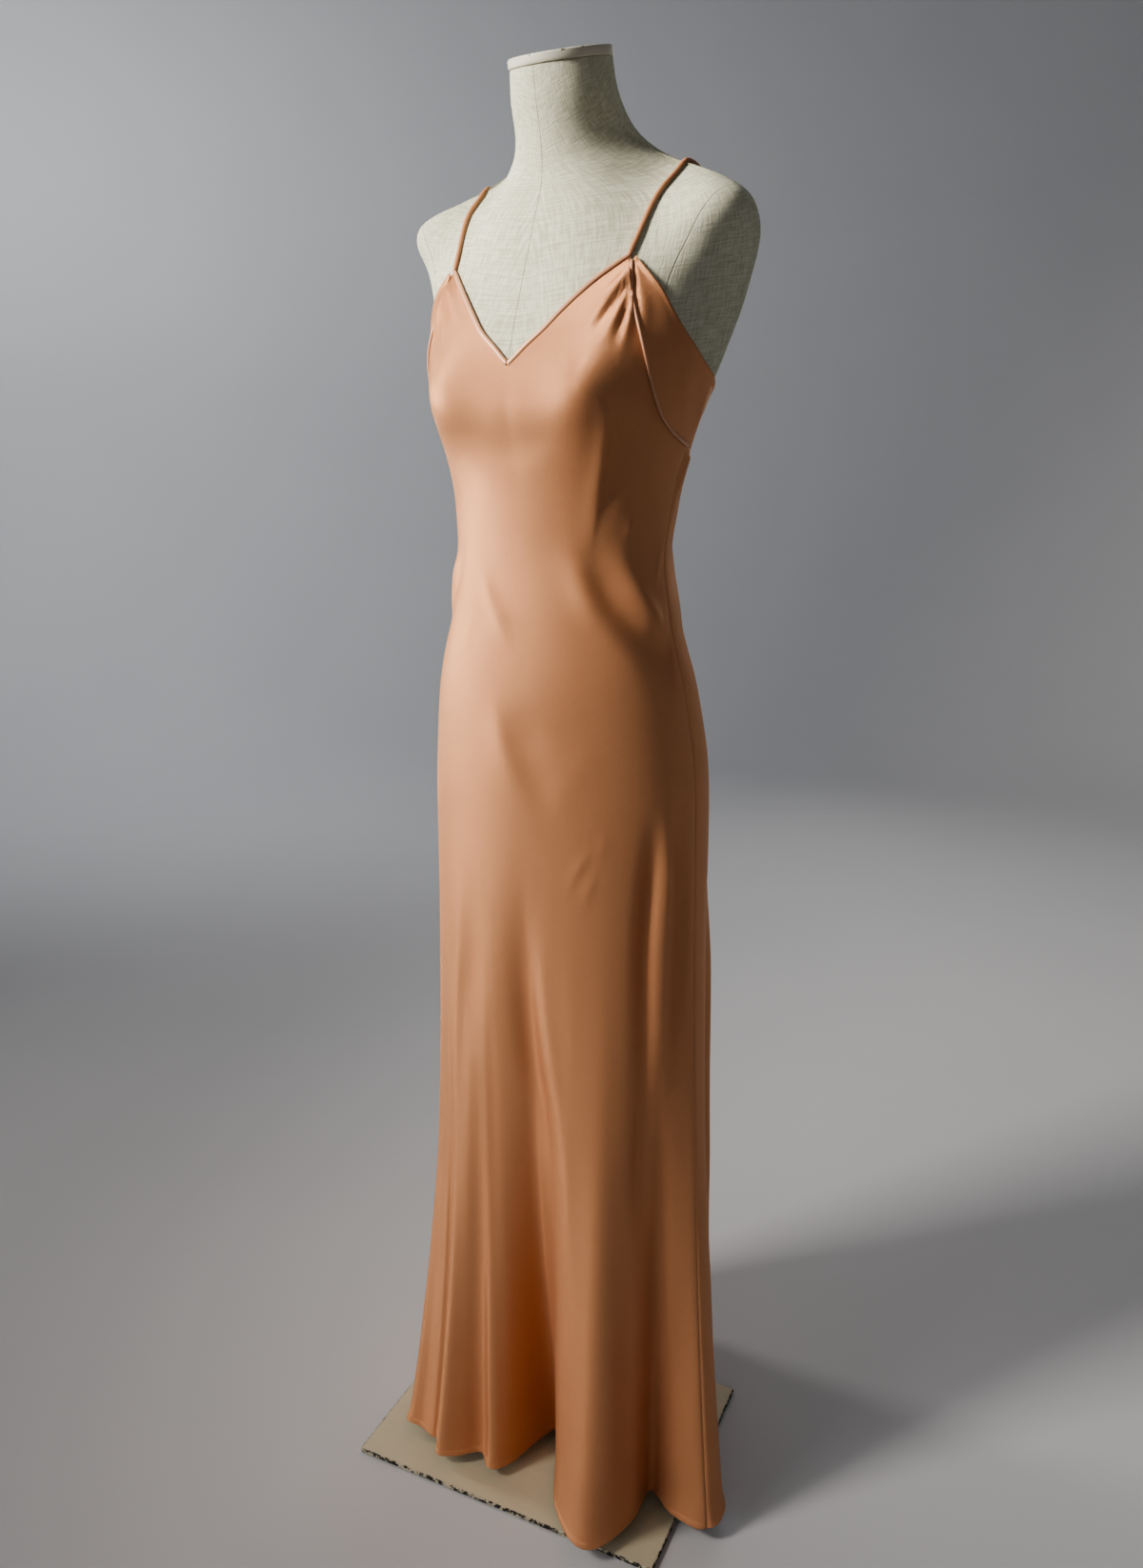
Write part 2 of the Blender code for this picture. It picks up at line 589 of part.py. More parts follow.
def make_neck_cap(angles, paint):
    """Painted wooden disc on the neck, tilted with it, its rim a little proud of the linen."""
    top = body_point(angles, np.full(FORM_COLUMNS, NECK_TOP), 0.0)
    centre = top.mean(axis=0)
    rim = centre + (top - centre) * (1.0 + CAP_OVERHANG)
    normal = np.cross(rim[FORM_COLUMNS // 4] - centre, rim[FORM_COLUMNS // 2] - centre)
    normal *= np.sign(normal[2]) / np.linalg.norm(normal)
    edge = CAP_EDGE * CAP_THICKNESS
    lift = [GAP, GAP + edge, GAP + CAP_THICKNESS - edge, GAP + CAP_THICKNESS]
    shrink = [CAP_EDGE_SHRINK, 1.0, 1.0, CAP_EDGE_SHRINK]
    rings = [centre + (rim - centre) * s + normal * up for up, s in zip(lift, shrink)]
    loft("neck_cap", rings, paint)


def turned(name, profile, look):
    """Turned solid about the pole's axis, from rows of radius and height."""
    turns = 2.0 * math.pi * np.arange(TURNED_SEGMENTS) / TURNED_SEGMENTS
    rings = [[(radius * math.cos(t), radius * math.sin(t), z) for t in turns] for radius, z in profile]
    return loft(name, rings, look)


def make_stand(paint, steel):
    bm = bmesh.new()
    bmesh.ops.create_cube(bm, size=1.0)
    size = Matrix.Diagonal((PLATE_LENGTH, PLATE_WIDTH, PLATE_THICKNESS, 1.0))
    turn = Matrix.Rotation(math.radians(PLATE_TURN), 4, "Z")
    place = Matrix.Translation(Vector((*PLATE_CENTRE, 0.5 * PLATE_THICKNESS)))
    bmesh.ops.transform(bm, matrix=place @ turn @ size, verts=bm.verts)
    bmesh.ops.bevel(bm, geom=list(bm.edges), offset=PLATE_BEVEL, segments=1, profile=0.5, affect="EDGES",
                    material=-1)
    add_object("base_plate", bm, paint)
    foot = PLATE_THICKNESS + GAP
    neck_radius, neck_foot = FLANGE_NECK_FOOT
    turned("pole_flange", [(FLANGE_RADIUS, foot), (FLANGE_RADIUS, foot + FLANGE_RIM),
                           (neck_radius, foot + neck_foot),
                           (FLANGE_NECK_RADIUS, foot + FLANGE_HEIGHT)], steel)
    turned("pole", [(POLE_RADIUS, foot + FLANGE_HEIGHT + GAP),
                    (POLE_RADIUS, FORM_BOTTOM - COLLAR_HEIGHT - 2 * GAP)], steel)
    turned("pole_collar", [(COLLAR_RADIUS, FORM_BOTTOM - COLLAR_HEIGHT - GAP),
                           (COLLAR_RADIUS, FORM_BOTTOM - GAP)], steel)


def main():
    for old in list(bpy.data.objects):
        bpy.data.objects.remove(old, do_unlink=True)
    satin = material("peach_satin", SATIN, 0.35)
    trim = material("satin_binding", BINDING_COLOUR, 0.40)
    linen = material("linen_cover", LINEN, 0.90)
    paint = material("cream_paint", PAINT, 0.55)
    steel = material("brushed_steel", STEEL, 0.40, 1.0)
    make_panel("front", int(round(2 * UNDERARM_ANGLE / FRONT_STEP)), FRONT_TOP_ROWS, satin)
    make_panel("back", int(round((360 - 2 * UNDERARM_ANGLE) / BACK_STEP)), BACK_TOP_ROWS, satin)
    make_band(satin)
    make_trims(satin, trim)
    make_form(linen, paint, steel)


main()
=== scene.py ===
"""Peach satin slip dress on a linen-covered dress form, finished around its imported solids.

Metres, +Z up, the dress faces -Y and the wearer's left side is +X.  An angle round the body is
counted from the centre front: 0 front, 90 the wearer's left side, 180 centre back, 270 the right side.
"""

import math
from collections import namedtuple

import bmesh
import bpy
import numpy as np
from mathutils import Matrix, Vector


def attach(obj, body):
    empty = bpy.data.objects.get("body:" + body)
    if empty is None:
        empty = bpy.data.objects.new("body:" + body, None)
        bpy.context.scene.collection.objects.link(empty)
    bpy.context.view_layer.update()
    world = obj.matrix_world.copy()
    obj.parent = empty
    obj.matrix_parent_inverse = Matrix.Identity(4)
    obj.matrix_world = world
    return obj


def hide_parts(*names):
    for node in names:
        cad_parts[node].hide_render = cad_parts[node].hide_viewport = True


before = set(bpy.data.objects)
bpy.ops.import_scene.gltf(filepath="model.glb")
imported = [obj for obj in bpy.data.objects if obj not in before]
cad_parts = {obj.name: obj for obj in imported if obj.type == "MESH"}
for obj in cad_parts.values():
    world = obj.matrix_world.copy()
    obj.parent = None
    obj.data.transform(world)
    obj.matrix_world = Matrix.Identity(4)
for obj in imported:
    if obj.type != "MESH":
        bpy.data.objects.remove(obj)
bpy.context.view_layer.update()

# ---- Camera ---------------------------------------------------------------------------------------
CAMERA_PLACE = Vector((0.67676, -1.11455, 1.23))
CAMERA_AIM = Vector((-0.49585, 0.82523, -0.27043))

camera_data = bpy.data.cameras.new("camera")
camera_data.sensor_width = 36.0
camera_data.lens = 27.12
camera = bpy.data.objects.new("camera", camera_data)
camera.location = CAMERA_PLACE
camera.rotation_euler = CAMERA_AIM.to_track_quat("-Z", "Y").to_euler()
bpy.context.scene.collection.objects.link(camera)
bpy.context.scene.camera = camera

# ---- Sizes ----------------------------------------------------------------------------------------
CLOTH = 0.0010            # finished satin shell
EASE = 0.0025             # air between the form and the dress
OUTER_FACE = 0.0004       # the shell's outer face above the surface that the tables describe
SEAM_GAP = 0.0004
UNDER_DRESS = 0.0035      # the form is drawn in this far where the dress hides it
UNDER_DRESS_TOP = 1.225
TROUGH_LIMIT = 0.0044     # no trough reaches deeper than this on the body
CHEST_TROUGH_SHARE = 0.30 # and only this share of it on the chest
SEAM_SPREAD = 0.014       # creases die out this close to a side seam
SEAM_DIP = 0.005          # the outer face comes down to the seam line within this distance
HEM_HEIGHT = 0.020
HEM_DEPTH = 0.0052        # narrow rolled hem
HEM_ROLL = 0.0020         # thickness of the roll
HEM_ROLL_RISE = 0.0006    # the roll stands this proud of the cloth above it
HEM_CURL = 0.0036         # the lowest cloth leans out by up to this, in slow lobes
HEM_CURL_TOP = 0.062
HIP_LEVEL = 0.845
CHEST_ROW = 1.200
SHOULDER_LEVEL = 1.236
STRAP_ANGLE = 31.0
STRAP_HEIGHT = 1.411
UNDERARM_ANGLE = 96.0
BAND_START = 32.8
BAND_COLUMNS = 260
BAND_ROWS = 22
BAND_ROUND = 0.125        # mean radius that turns an angle into a length of band
BINDING_WIDTH = 0.0052
BINDING_THICKNESS = 0.0036
BINDING_LIFT = 0.0001
BINDING_TAPER = 3.5       # degrees over which a binding narrows into its strap point
NECK_DROP = 0.0022        # the satin's raw edge lies inside the folded binding
PIPING_RADIUS = 0.0016
MIDDLE_GAP = 0.0001       # the two bindings meet this far either side of the middle

STRAP_RADIUS = 0.0024
STRAP_AT_FRONT = 0.1010
STRAP_AT_BACK = 0.0720
STRAP_AT_SHOULDER = {"left": 0.1145, "right": 0.1205}
STRAP_CLEARANCE = -0.0002 # a strap settles this far into the linen
STRAP_FRONT_END = 0.003   # below the strap point
STRAP_BACK_END = 0.004    # below the band's top edge
STRAP_BACK_ANGLE = 150.0
STRAP_ROWS = 60           # places up the front; the back has half as many again

BUST_HALF_SPACING = 0.088
BUST_HEIGHT = 1.283
BUST_FULLNESS = 0.026
BUST_SPREAD = 0.043
BUST_RISE = 0.055
BUST_FALL = 0.056
BUST_BRIDGE = 0.20        # the cloth stretches across between them
BUST_BRIDGE_SPREAD = 0.052
CLOTH_BUST_SHARE = 0.6    # of the ease is added again over the bust
HOLLOW_SHARE = 0.800
HOLLOW_FROM_MIDDLE = 0.115
HOLLOW_HEIGHT = 1.510
HOLLOW_SPREAD = 0.048
HOLLOW_RISE = 0.068

NECK_TOP = 1.594
CAP_THICKNESS = 0.009
CAP_OVERHANG = 0.024      # share by which the cap's rim stands proud of the neck
CAP_SIDES = 96
FORM_BOTTOM = 0.800
FORM_FOOT = 0.018         # the form rounds in by this at its closed bottom
FORM_FOOT_HEIGHT = 0.030
FORM_COLUMNS = 168
FORM_ROWS = 250
LINEN_LEAN = 11.0         # the linen runs slightly off the straight on either side
LINEN_ROUND = 0.12        # mean radius that turns an angle into a length of linen
GAP = 0.0004

PLATE_LENGTH = 0.400
PLATE_WIDTH = 0.300
PLATE_TURN = 5.6
PLATE_CENTRE = (0.0, -0.036)
PLATE_EDGE = 0.0035       # the paint is worn within this distance of the plate's rim
PLATE_WORN = 0.0032       # and most of all past this much of it

Section = namedtuple("Section", "height half_width front back widest power tilt")
BODY = (
    Section(1.602, 0.0495, -0.061, 0.043, -0.009, 2.0, 15.0),
    Section(1.570, 0.0525, -0.056, 0.052, -0.006, 2.0, 13.0),
    Section(1.540, 0.0590, -0.048, 0.072, 0.018, 2.0, 10.0),
    Section(1.515, 0.0860, -0.044, 0.094, 0.042, 2.0, 8.0),
    Section(1.497, 0.1340, -0.044, 0.106, 0.040, 2.0, 6.0),
    Section(1.480, 0.1700, -0.047, 0.113, 0.024, 2.1, 4.0),
    Section(1.465, 0.1910, -0.052, 0.118, 0.016, 2.2, 2.0),
    Section(1.445, 0.1950, -0.060, 0.121, 0.025, 2.3, 0.0),
    Section(1.420, 0.1860, -0.069, 0.123, 0.046, 2.3, 0.0),
    Section(1.380, 0.1720, -0.084, 0.124, 0.053, 2.3, 0.0),
    Section(1.330, 0.1590, -0.099, 0.117, 0.035, 2.3, 0.0),
    Section(1.280, 0.1430, -0.104, 0.108, 0.022, 2.2, 0.0),
    Section(1.240, 0.1305, -0.099, 0.101, 0.012, 2.2, 0.0),
    Section(1.180, 0.1200, -0.093, 0.090, 0.000, 2.2, 0.0),
    Section(1.130, 0.1175, -0.090, 0.082, -0.006, 2.2, 0.0),
    Section(1.060, 0.1285, -0.095, 0.089, -0.006, 2.2, 0.0),
    Section(0.980, 0.1490, -0.100, 0.108, -0.002, 2.2, 0.0),
    Section(0.890, 0.1610, -0.099, 0.125, 0.006, 2.2, 0.0),
    Section(0.800, 0.1665, -0.095, 0.117, 0.006, 2.2, 0.0),
)

EdgePoint = namedtuple("EdgePoint", "angle height")
NECKLINE = tuple(EdgePoint(*p) for p in (
    (0.0, 1.313), (5.0, 1.329), (10.0, 1.343), (15.0, 1.361), (23.0, 1.388), (STRAP_ANGLE, STRAP_HEIGHT)))
PIPED_SEAM = tuple(EdgePoint(*p) for p in (
    (STRAP_ANGLE, STRAP_HEIGHT), (34.4, 1.390), (38.0, 1.370), (46.0, 1.338), (55.5, 1.304), (63.0, 1.280),
    (70.5, 1.262), (82.0, 1.246), (UNDERARM_ANGLE, SHOULDER_LEVEL), (140.0, 1.230), (180.0, 1.228)))
BAND_TOP = tuple(EdgePoint(*p) for p in (
    (STRAP_ANGLE, STRAP_HEIGHT), (41.0, 1.392), (48.0, 1.378), (55.5, 1.360), (64.5, 1.342), (73.5, 1.328),
    (83.5, 1.314), (96.0, 1.301), (120.0, 1.286), (150.0, 1.274), (180.0, 1.270)))
SIDE_SEAM = tuple(EdgePoint(*p) for p in (
    (86.0, 0.845), (88.0, 0.980), (92.0, 1.130), (94.0, 1.180), (UNDERARM_ANGLE, SHOULDER_LEVEL)))

Fold = namedtuple("Fold", "name crest_x crest_y heading width valley_x valley_y crest_power valley_power")
FOLDS = (
    Fold("right_side", -0.205, -0.040, 190.0, 0.046, -0.168, -0.092, 2.2, 1.8),
    Fold("right_front", -0.152, -0.146, 222.0, 0.034, -0.106, -0.153, 2.4, 2.2),
    Fold("right_inner", -0.086, -0.172, 255.0, 0.036, -0.046, -0.140, 2.4, 2.2),
    Fold("centre", -0.016, -0.155, 275.0, 0.036, 0.022, -0.058, 2.2, 1.4),
    Fold("left_front", 0.140, -0.190, 289.0, 0.090, 0.168, -0.081, 1.8, 1.6),
    Fold("left_side", 0.250, -0.096, 316.0, 0.062, 0.178, -0.004, 1.75, 1.4),
    Fold("left_back", 0.187, 0.050, 22.0, 0.050, 0.128, 0.066, 1.05, 1.5),
    Fold("back_outer", 0.128, 0.134, 48.0, 0.052, 0.072, 0.112, 1.8, 1.5),
    Fold("back_inner", 0.046, 0.184, 78.0, 0.060, 0.004, 0.116, 1.8, 1.4),
    Fold("back_right", -0.056, 0.190, 104.0, 0.062, -0.090, 0.118, 1.8, 1.5),
    Fold("right_back", -0.136, 0.146, 132.0, 0.054, -0.140, 0.078, 1.8, 1.5),
    Fold("right_rear", -0.196, 0.062, 164.0, 0.052, -0.166, 0.004, 2.0, 1.7),
)
RIGHT_SEAM_FOLD = 0
LEFT_SEAM_FOLD = 5

# Soft creases worked into the satin.  lift is the height of a ridge, or the depth of a trough when
# negative; width is half its breadth; lean makes the side towards the wearer's left steeper (+) or
# softer (-); grow and fade are the shares of its length over which it appears and dies out.  The path
# runs through (across, height) places: across is 0 at the wearer's right side seam of the front panel.
Crease = namedtuple("Crease", "name panel lift width lean grow fade path")
CREASES = (
    # gathers that run down from the wearer's left strap point
    Crease("left_gather_1", "front", 0.0044, 0.0054, 0.1, 0.10, 0.75,
           ((0.680, 1.396), (0.672, 1.385), (0.649, 1.362), (0.626, 1.330))),
    Crease("left_gather_2", "front", 0.0046, 0.0050, 0.0, 0.10, 0.70,
           ((0.686, 1.392), (0.683, 1.376), (0.680, 1.356), (0.676, 1.322))),
    Crease("left_gather_3", "front", 0.0036, 0.0046, 0.1, 0.10, 0.80,
           ((0.690, 1.390), (0.699, 1.366), (0.712, 1.338), (0.730, 1.306))),
    Crease("left_gather_4", "front", 0.0026, 0.0046, 0.0, 0.15, 0.80,
           ((0.676, 1.400), (0.655, 1.382), (0.628, 1.362), (0.600, 1.346))),
    Crease("left_gather_gap_1", "front", -0.0030, 0.0034, 0.0, 0.12, 0.80,
           ((0.679, 1.394), (0.677, 1.378), (0.664, 1.358), (0.650, 1.334))),
    Crease("left_gather_gap_2", "front", -0.0030, 0.0034, 0.0, 0.12, 0.80,
           ((0.688, 1.390), (0.691, 1.370), (0.696, 1.348), (0.704, 1.318))),
    # and from the wearer's right one
    Crease("right_gather_1", "front", 0.0050, 0.0048, 0.0, 0.10, 0.75,
           ((0.318, 1.394), (0.330, 1.376), (0.342, 1.352), (0.356, 1.326))),
    Crease("right_gather_2", "front", 0.0052, 0.0046, -0.1, 0.10, 0.70,
           ((0.312, 1.390), (0.308, 1.366), (0.304, 1.340), (0.306, 1.308))),
    Crease("right_gather_3", "front", 0.0036, 0.0048, 0.0, 0.15, 0.80,
           ((0.324, 1.398), (0.350, 1.382), (0.378, 1.362), (0.402, 1.344))),
    Crease("right_gather_gap", "front", -0.0030, 0.0034, 0.0, 0.12, 0.80,
           ((0.315, 1.391), (0.319, 1.370), (0.324, 1.348), (0.330, 1.322))),
    # tension from the bust points down to the waist
    Crease("left_bust_line", "front", 0.0030, 0.0070, 0.45, 0.25, 0.50,
           ((0.700, 1.286), (0.733, 1.262), (0.732, 1.236), (0.722, 1.205), (0.708, 1.166), (0.690, 1.120))),
    Crease("left_bust_hollow", "front", -0.0030, 0.0110, 0.0, 0.30, 0.50,
           ((0.770, 1.262), (0.762, 1.230), (0.748, 1.196), (0.735, 1.160))),
    Crease("right_bust_line", "front", 0.0018, 0.0090, -0.3, 0.30, 0.55,
           ((0.300, 1.276), (0.272, 1.240), (0.270, 1.205), (0.286, 1.160))),
    Crease("under_bust_sweep", "front", -0.0012, 0.0150, 0.0, 0.40, 0.40,
           ((0.610, 1.262), (0.560, 1.240), (0.500, 1.232), (0.440, 1.240), (0.400, 1.256))),
    Crease("left_side_crease", "front", 0.0012, 0.0055, 0.3, 0.35, 0.45,
           ((0.836, 1.168), (0.824, 1.153), (0.816, 1.138))),
    # the long diagonal from the waist to the wearer's left hip
    Crease("waist_trough", "front", -0.0046, 0.0150, 0.0, 0.35, 0.35,
           ((0.668, 1.150), (0.702, 1.128), (0.748, 1.096), (0.830, 1.062), (0.930, 1.030), (0.985, 0.990))),
    Crease("waist_ridge", "front", 0.0074, 0.0135, 0.1, 0.45, 0.35,
           ((0.770, 1.150), (0.803, 1.126), (0.853, 1.094), (0.917, 1.058), (0.975, 1.026))),
    Crease("waist_upper_trough", "front", -0.0016, 0.0150, 0.0, 0.35, 0.35,
           ((0.812, 1.208), (0.860, 1.184), (0.915, 1.152), (0.975, 1.112))),
    Crease("waist_lower_ridge", "front", 0.0048, 0.0140, 0.0, 0.45, 0.45,
           ((0.600, 1.150), (0.655, 1.110), (0.710, 1.072), (0.800, 1.030), (0.900, 0.992))),
    # the wearer's right hip and belly
    Crease("right_waist_fold", "front", 0.0024, 0.0090, 0.1, 0.40, 0.50,
           ((0.372, 1.122), (0.422, 1.082), (0.462, 1.056), (0.490, 1.030))),
    Crease("right_hip_nick", "front", 0.0008, 0.0050, 0.0, 0.40, 0.50,
           ((0.366, 1.064), (0.346, 1.046), (0.326, 1.024))),
    Crease("belly_ridge", "front", 0.0027, 0.0160, 0.2, 0.35, 0.50,
           ((0.428, 0.992), (0.450, 0.966), (0.482, 0.918), (0.526, 0.866), (0.548, 0.830))),
    Crease("belly_trough", "front", -0.0018, 0.0200, 0.0, 0.40, 0.45,
           ((0.500, 0.985), (0.530, 0.930), (0.556, 0.876), (0.566, 0.840))),
    Crease("belly_left_arm", "front", 0.0008, 0.0180, 0.0, 0.45, 0.55,
           ((0.556, 0.846), (0.600, 0.884), (0.652, 0.922), (0.700, 0.955))),
    Crease("thigh_nick_1", "front", 0.0009, 0.0060, 0.3, 0.35, 0.60,
           ((0.664, 0.832), (0.656, 0.818), (0.635, 0.800), (0.600, 0.764))),
    Crease("thigh_nick_2", "front", 0.0008, 0.0066, 0.3, 0.35, 0.60,
           ((0.680, 0.802), (0.658, 0.774), (0.634, 0.746))),
    Crease("thigh_nick_3", "front", 0.0006, 0.0056, 0.2, 0.40, 0.60,
           ((0.700, 0.846), (0.694, 0.826), (0.680, 0.806))),
    # long soft folds of the skirt front
    Crease("right_edge_ridge", "front", 0.0026, 0.0200, 0.4, 0.40, 0.50,
           ((0.334, 0.830), (0.322, 0.750), (0.306, 0.666), (0.290, 0.580), (0.286, 0.470), (0.290, 0.340))),
    Crease("right_edge_trough", "front", -0.0018, 0.0200, 0.0, 0.40, 0.50,
           ((0.384, 0.790), (0.376, 0.700), (0.356, 0.610), (0.340, 0.500))),
    Crease("left_hip_trough", "front", -0.0070, 0.0110, 0.1, 0.22, 0.35,
           ((0.836, 0.878), (0.822, 0.800), (0.811, 0.710), (0.812, 0.600), (0.812, 0.484), (0.806, 0.316))),
    Crease("left_hip_ridge", "front", 0.0052, 0.0105, 0.1, 0.22, 0.55,
           ((0.866, 0.880), (0.876, 0.800), (0.868, 0.708), (0.866, 0.594), (0.870, 0.450))),
    Crease("left_hip_outer_trough", "front", -0.0060, 0.0105, 0.0, 0.25, 0.50,
           ((0.905, 0.886), (0.930, 0.806), (0.938, 0.730), (0.930, 0.600), (0.920, 0.470))),
    Crease("centre_trough", "front", -0.0050, 0.0190, -0.2, 0.35, 0.40,
           ((0.500, 0.780), (0.499, 0.680), (0.506, 0.574), (0.539, 0.498), (0.568, 0.408), (0.590, 0.300))),
    Crease("centre_ridge", "front", 0.0040, 0.0190, 0.2, 0.40, 0.45,
           ((0.540, 0.760), (0.548, 0.628), (0.582, 0.518), (0.618, 0.400), (0.650, 0.240))),
    Crease("right_skirt_ridge", "front", 0.0026, 0.0180, 0.0, 0.40, 0.40,
           ((0.372, 0.640), (0.365, 0.560), (0.356, 0.456), (0.350, 0.304), (0.356, 0.180))),
    Crease("right_skirt_trough", "front", -0.0034, 0.0180, 0.0, 0.35, 0.35,
           ((0.424, 0.640), (0.415, 0.540), (0.409, 0.418), (0.402, 0.256), (0.404, 0.150))),
    Crease("hem_corner_ridge", "front", 0.0020, 0.0150, 0.1, 0.50, 0.08,
           ((0.308, 0.260), (0.306, 0.180), (0.305, 0.100), (0.302, 0.024))),
    Crease("left_fold_line", "front", -0.0016, 0.0045, 0.3, 0.30, 0.45,
           ((0.800, 0.540), (0.797, 0.500), (0.793, 0.440), (0.792, 0.380))),
    Crease("left_fold_lobe", "front", 0.0042, 0.0200, 0.0, 0.45, 0.20,
           ((0.700, 0.520), (0.706, 0.400), (0.716, 0.260), (0.722, 0.110), (0.722, 0.022))),
    Crease("left_fold_dent", "front", -0.0024, 0.0160, 0.0, 0.50, 0.15,
           ((0.760, 0.360), (0.766, 0.250), (0.772, 0.120), (0.776, 0.022))),
    Crease("right_lobe_dent", "front", -0.0020, 0.0150, 0.0, 0.50, 0.15,
           ((0.500, 0.300), (0.492, 0.200), (0.486, 0.100), (0.484, 0.022))),
    # puckers along the side seams
    Crease("left_pucker_1", "front", 0.0012, 0.0035, 0.0, 0.30, 0.60,
           ((0.990, 1.140), (0.962, 1.118), (0.936, 1.090))),
    Crease("left_pucker_2", "front", 0.0012, 0.0035, 0.0, 0.30, 0.60,
           ((0.990, 1.086), (0.966, 1.060), (0.944, 1.030))),
    Crease("left_pucker_3", "front", 0.0011, 0.0035, 0.0, 0.30, 0.60,
           ((0.990, 1.040), (0.970, 1.012), (0.954, 0.980))),
    Crease("right_pucker_1", "front", 0.0012, 0.0035, 0.0, 0.30, 0.60,
           ((0.010, 1.120), (0.040, 1.098), (0.066, 1.070))),
    Crease("right_pucker_2", "front", 0.0012, 0.0035, 0.0, 0.30, 0.60,
           ((0.010, 1.060), (0.036, 1.034), (0.058, 1.004))),
    Crease("right_waist_trough", "front", -0.0018, 0.0110, 0.0, 0.35, 0.35,
           ((0.300, 1.140), (0.250, 1.112), (0.190, 1.076), (0.110, 1.040), (0.040, 1.006))),
    Crease("right_waist_ridge", "front", 0.0042, 0.0120, 0.0, 0.40, 0.35,
           ((0.236, 1.140), (0.190, 1.112), (0.130, 1.076), (0.060, 1.044))),
    # back panel: gathers under the band, the hollow of the waist and the long folds of the train side
    Crease("back_gather_1", "back", 0.0026, 0.0060, 0.0, 0.05, 0.80,
           ((0.040, 1.230), (0.036, 1.206), (0.028, 1.176), (0.020, 1.140))),
    Crease("back_gather_2", "back", 0.0024, 0.0065, 0.0, 0.05, 0.80,
           ((0.110, 1.230), (0.104, 1.200), (0.092, 1.160), (0.080, 1.120))),
    Crease("back_gather_3", "back", 0.0020, 0.0070, 0.0, 0.05, 0.80,
           ((0.300, 1.228), (0.305, 1.200), (0.300, 1.168))),
    Crease("back_gather_4", "back", 0.0022, 0.0070, 0.0, 0.05, 0.80,
           ((0.460, 1.226), (0.470, 1.190), (0.466, 1.150))),
    Crease("back_gather_5", "back", 0.0018, 0.0065, 0.0, 0.05, 0.80,
           ((0.640, 1.228), (0.636, 1.204), (0.646, 1.176))),
    Crease("back_gather_6", "back", 0.0024, 0.0060, 0.0, 0.05, 0.80,
           ((0.850, 1.230), (0.856, 1.206), (0.866, 1.170), (0.880, 1.130))),
    Crease("back_gather_7", "back", 0.0024, 0.0060, 0.0, 0.05, 0.80,
           ((0.950, 1.230), (0.954, 1.208), (0.964, 1.178), (0.974, 1.140))),
    Crease("back_waist_1", "back", 0.0036, 0.0110, 0.2, 0.40, 0.45,
           ((0.240, 1.176), (0.200, 1.130), (0.140, 1.080), (0.070, 1.040))),
    Crease("back_waist_2", "back", 0.0030, 0.0120, 0.0, 0.40, 0.45,
           ((0.400, 1.150), (0.330, 1.104), (0.240, 1.060), (0.150, 1.020))),
    Crease("back_waist_3", "back", 0.0034, 0.0110, -0.2, 0.40, 0.45,
           ((0.760, 1.176), (0.800, 1.132), (0.860, 1.084), (0.930, 1.044))),
    Crease("back_waist_4", "back", 0.0026, 0.0130, 0.0, 0.40, 0.45,
           ((0.600, 1.146), (0.670, 1.098), (0.760, 1.056), (0.850, 1.022))),
    Crease("back_seat_line_1", "back", 0.0028, 0.0120, 0.1, 0.35, 0.50,
           ((0.330, 0.884), (0.352, 0.830), (0.368, 0.760), (0.372, 0.660))),
    Crease("back_seat_line_2", "back", 0.0030, 0.0110, -0.1, 0.35, 0.50,
           ((0.655, 0.890), (0.640, 0.830), (0.628, 0.752), (0.632, 0.640))),
    Crease("back_skirt_trough_1", "back", -0.0060, 0.0140, 0.0, 0.30, 0.30,
           ((0.110, 0.800), (0.120, 0.660), (0.126, 0.480), (0.132, 0.280), (0.134, 0.120))),
    Crease("back_skirt_ridge_1", "back", 0.0050, 0.0140, 0.1, 0.30, 0.30,
           ((0.200, 0.790), (0.214, 0.640), (0.220, 0.460), (0.226, 0.280))),
    Crease("back_skirt_trough_2", "back", -0.0055, 0.0150, 0.0, 0.30, 0.30,
           ((0.296, 0.760), (0.300, 0.600), (0.306, 0.430), (0.312, 0.240))),
    Crease("back_skirt_ridge_2", "back", 0.0050, 0.0150, 0.0, 0.30, 0.30,
           ((0.440, 0.800), (0.430, 0.640), (0.426, 0.460), (0.424, 0.300), (0.424, 0.140))),
    Crease("back_skirt_trough_3", "back", -0.0060, 0.0150, 0.1, 0.30, 0.30,
           ((0.530, 0.770), (0.524, 0.600), (0.520, 0.430), (0.518, 0.240))),
    Crease("back_skirt_ridge_3", "back", 0.0045, 0.0130, 0.0, 0.30, 0.30,
           ((0.690, 0.760), (0.700, 0.600), (0.704, 0.420), (0.704, 0.260))),
    Crease("back_skirt_trough_4", "back", -0.0055, 0.0140, 0.0, 0.30, 0.30,
           ((0.800, 0.790), (0.792, 0.640), (0.790, 0.460), (0.788, 0.280), (0.788, 0.120))),
    Crease("back_skirt_ridge_4", "back", 0.0045, 0.0120, 0.0, 0.30, 0.35,
           ((0.900, 0.800), (0.894, 0.640), (0.892, 0.480), (0.896, 0.320))),
    Crease("back_nick_1", "back", 0.0016, 0.0045, 0.3, 0.30, 0.60,
           ((0.560, 0.968), (0.576, 0.944), (0.600, 0.916))),
    Crease("back_nick_2", "back", 0.0014, 0.0045, 0.2, 0.30, 0.60,
           ((0.420, 0.930), (0.404, 0.902), (0.380, 0.878))),
)


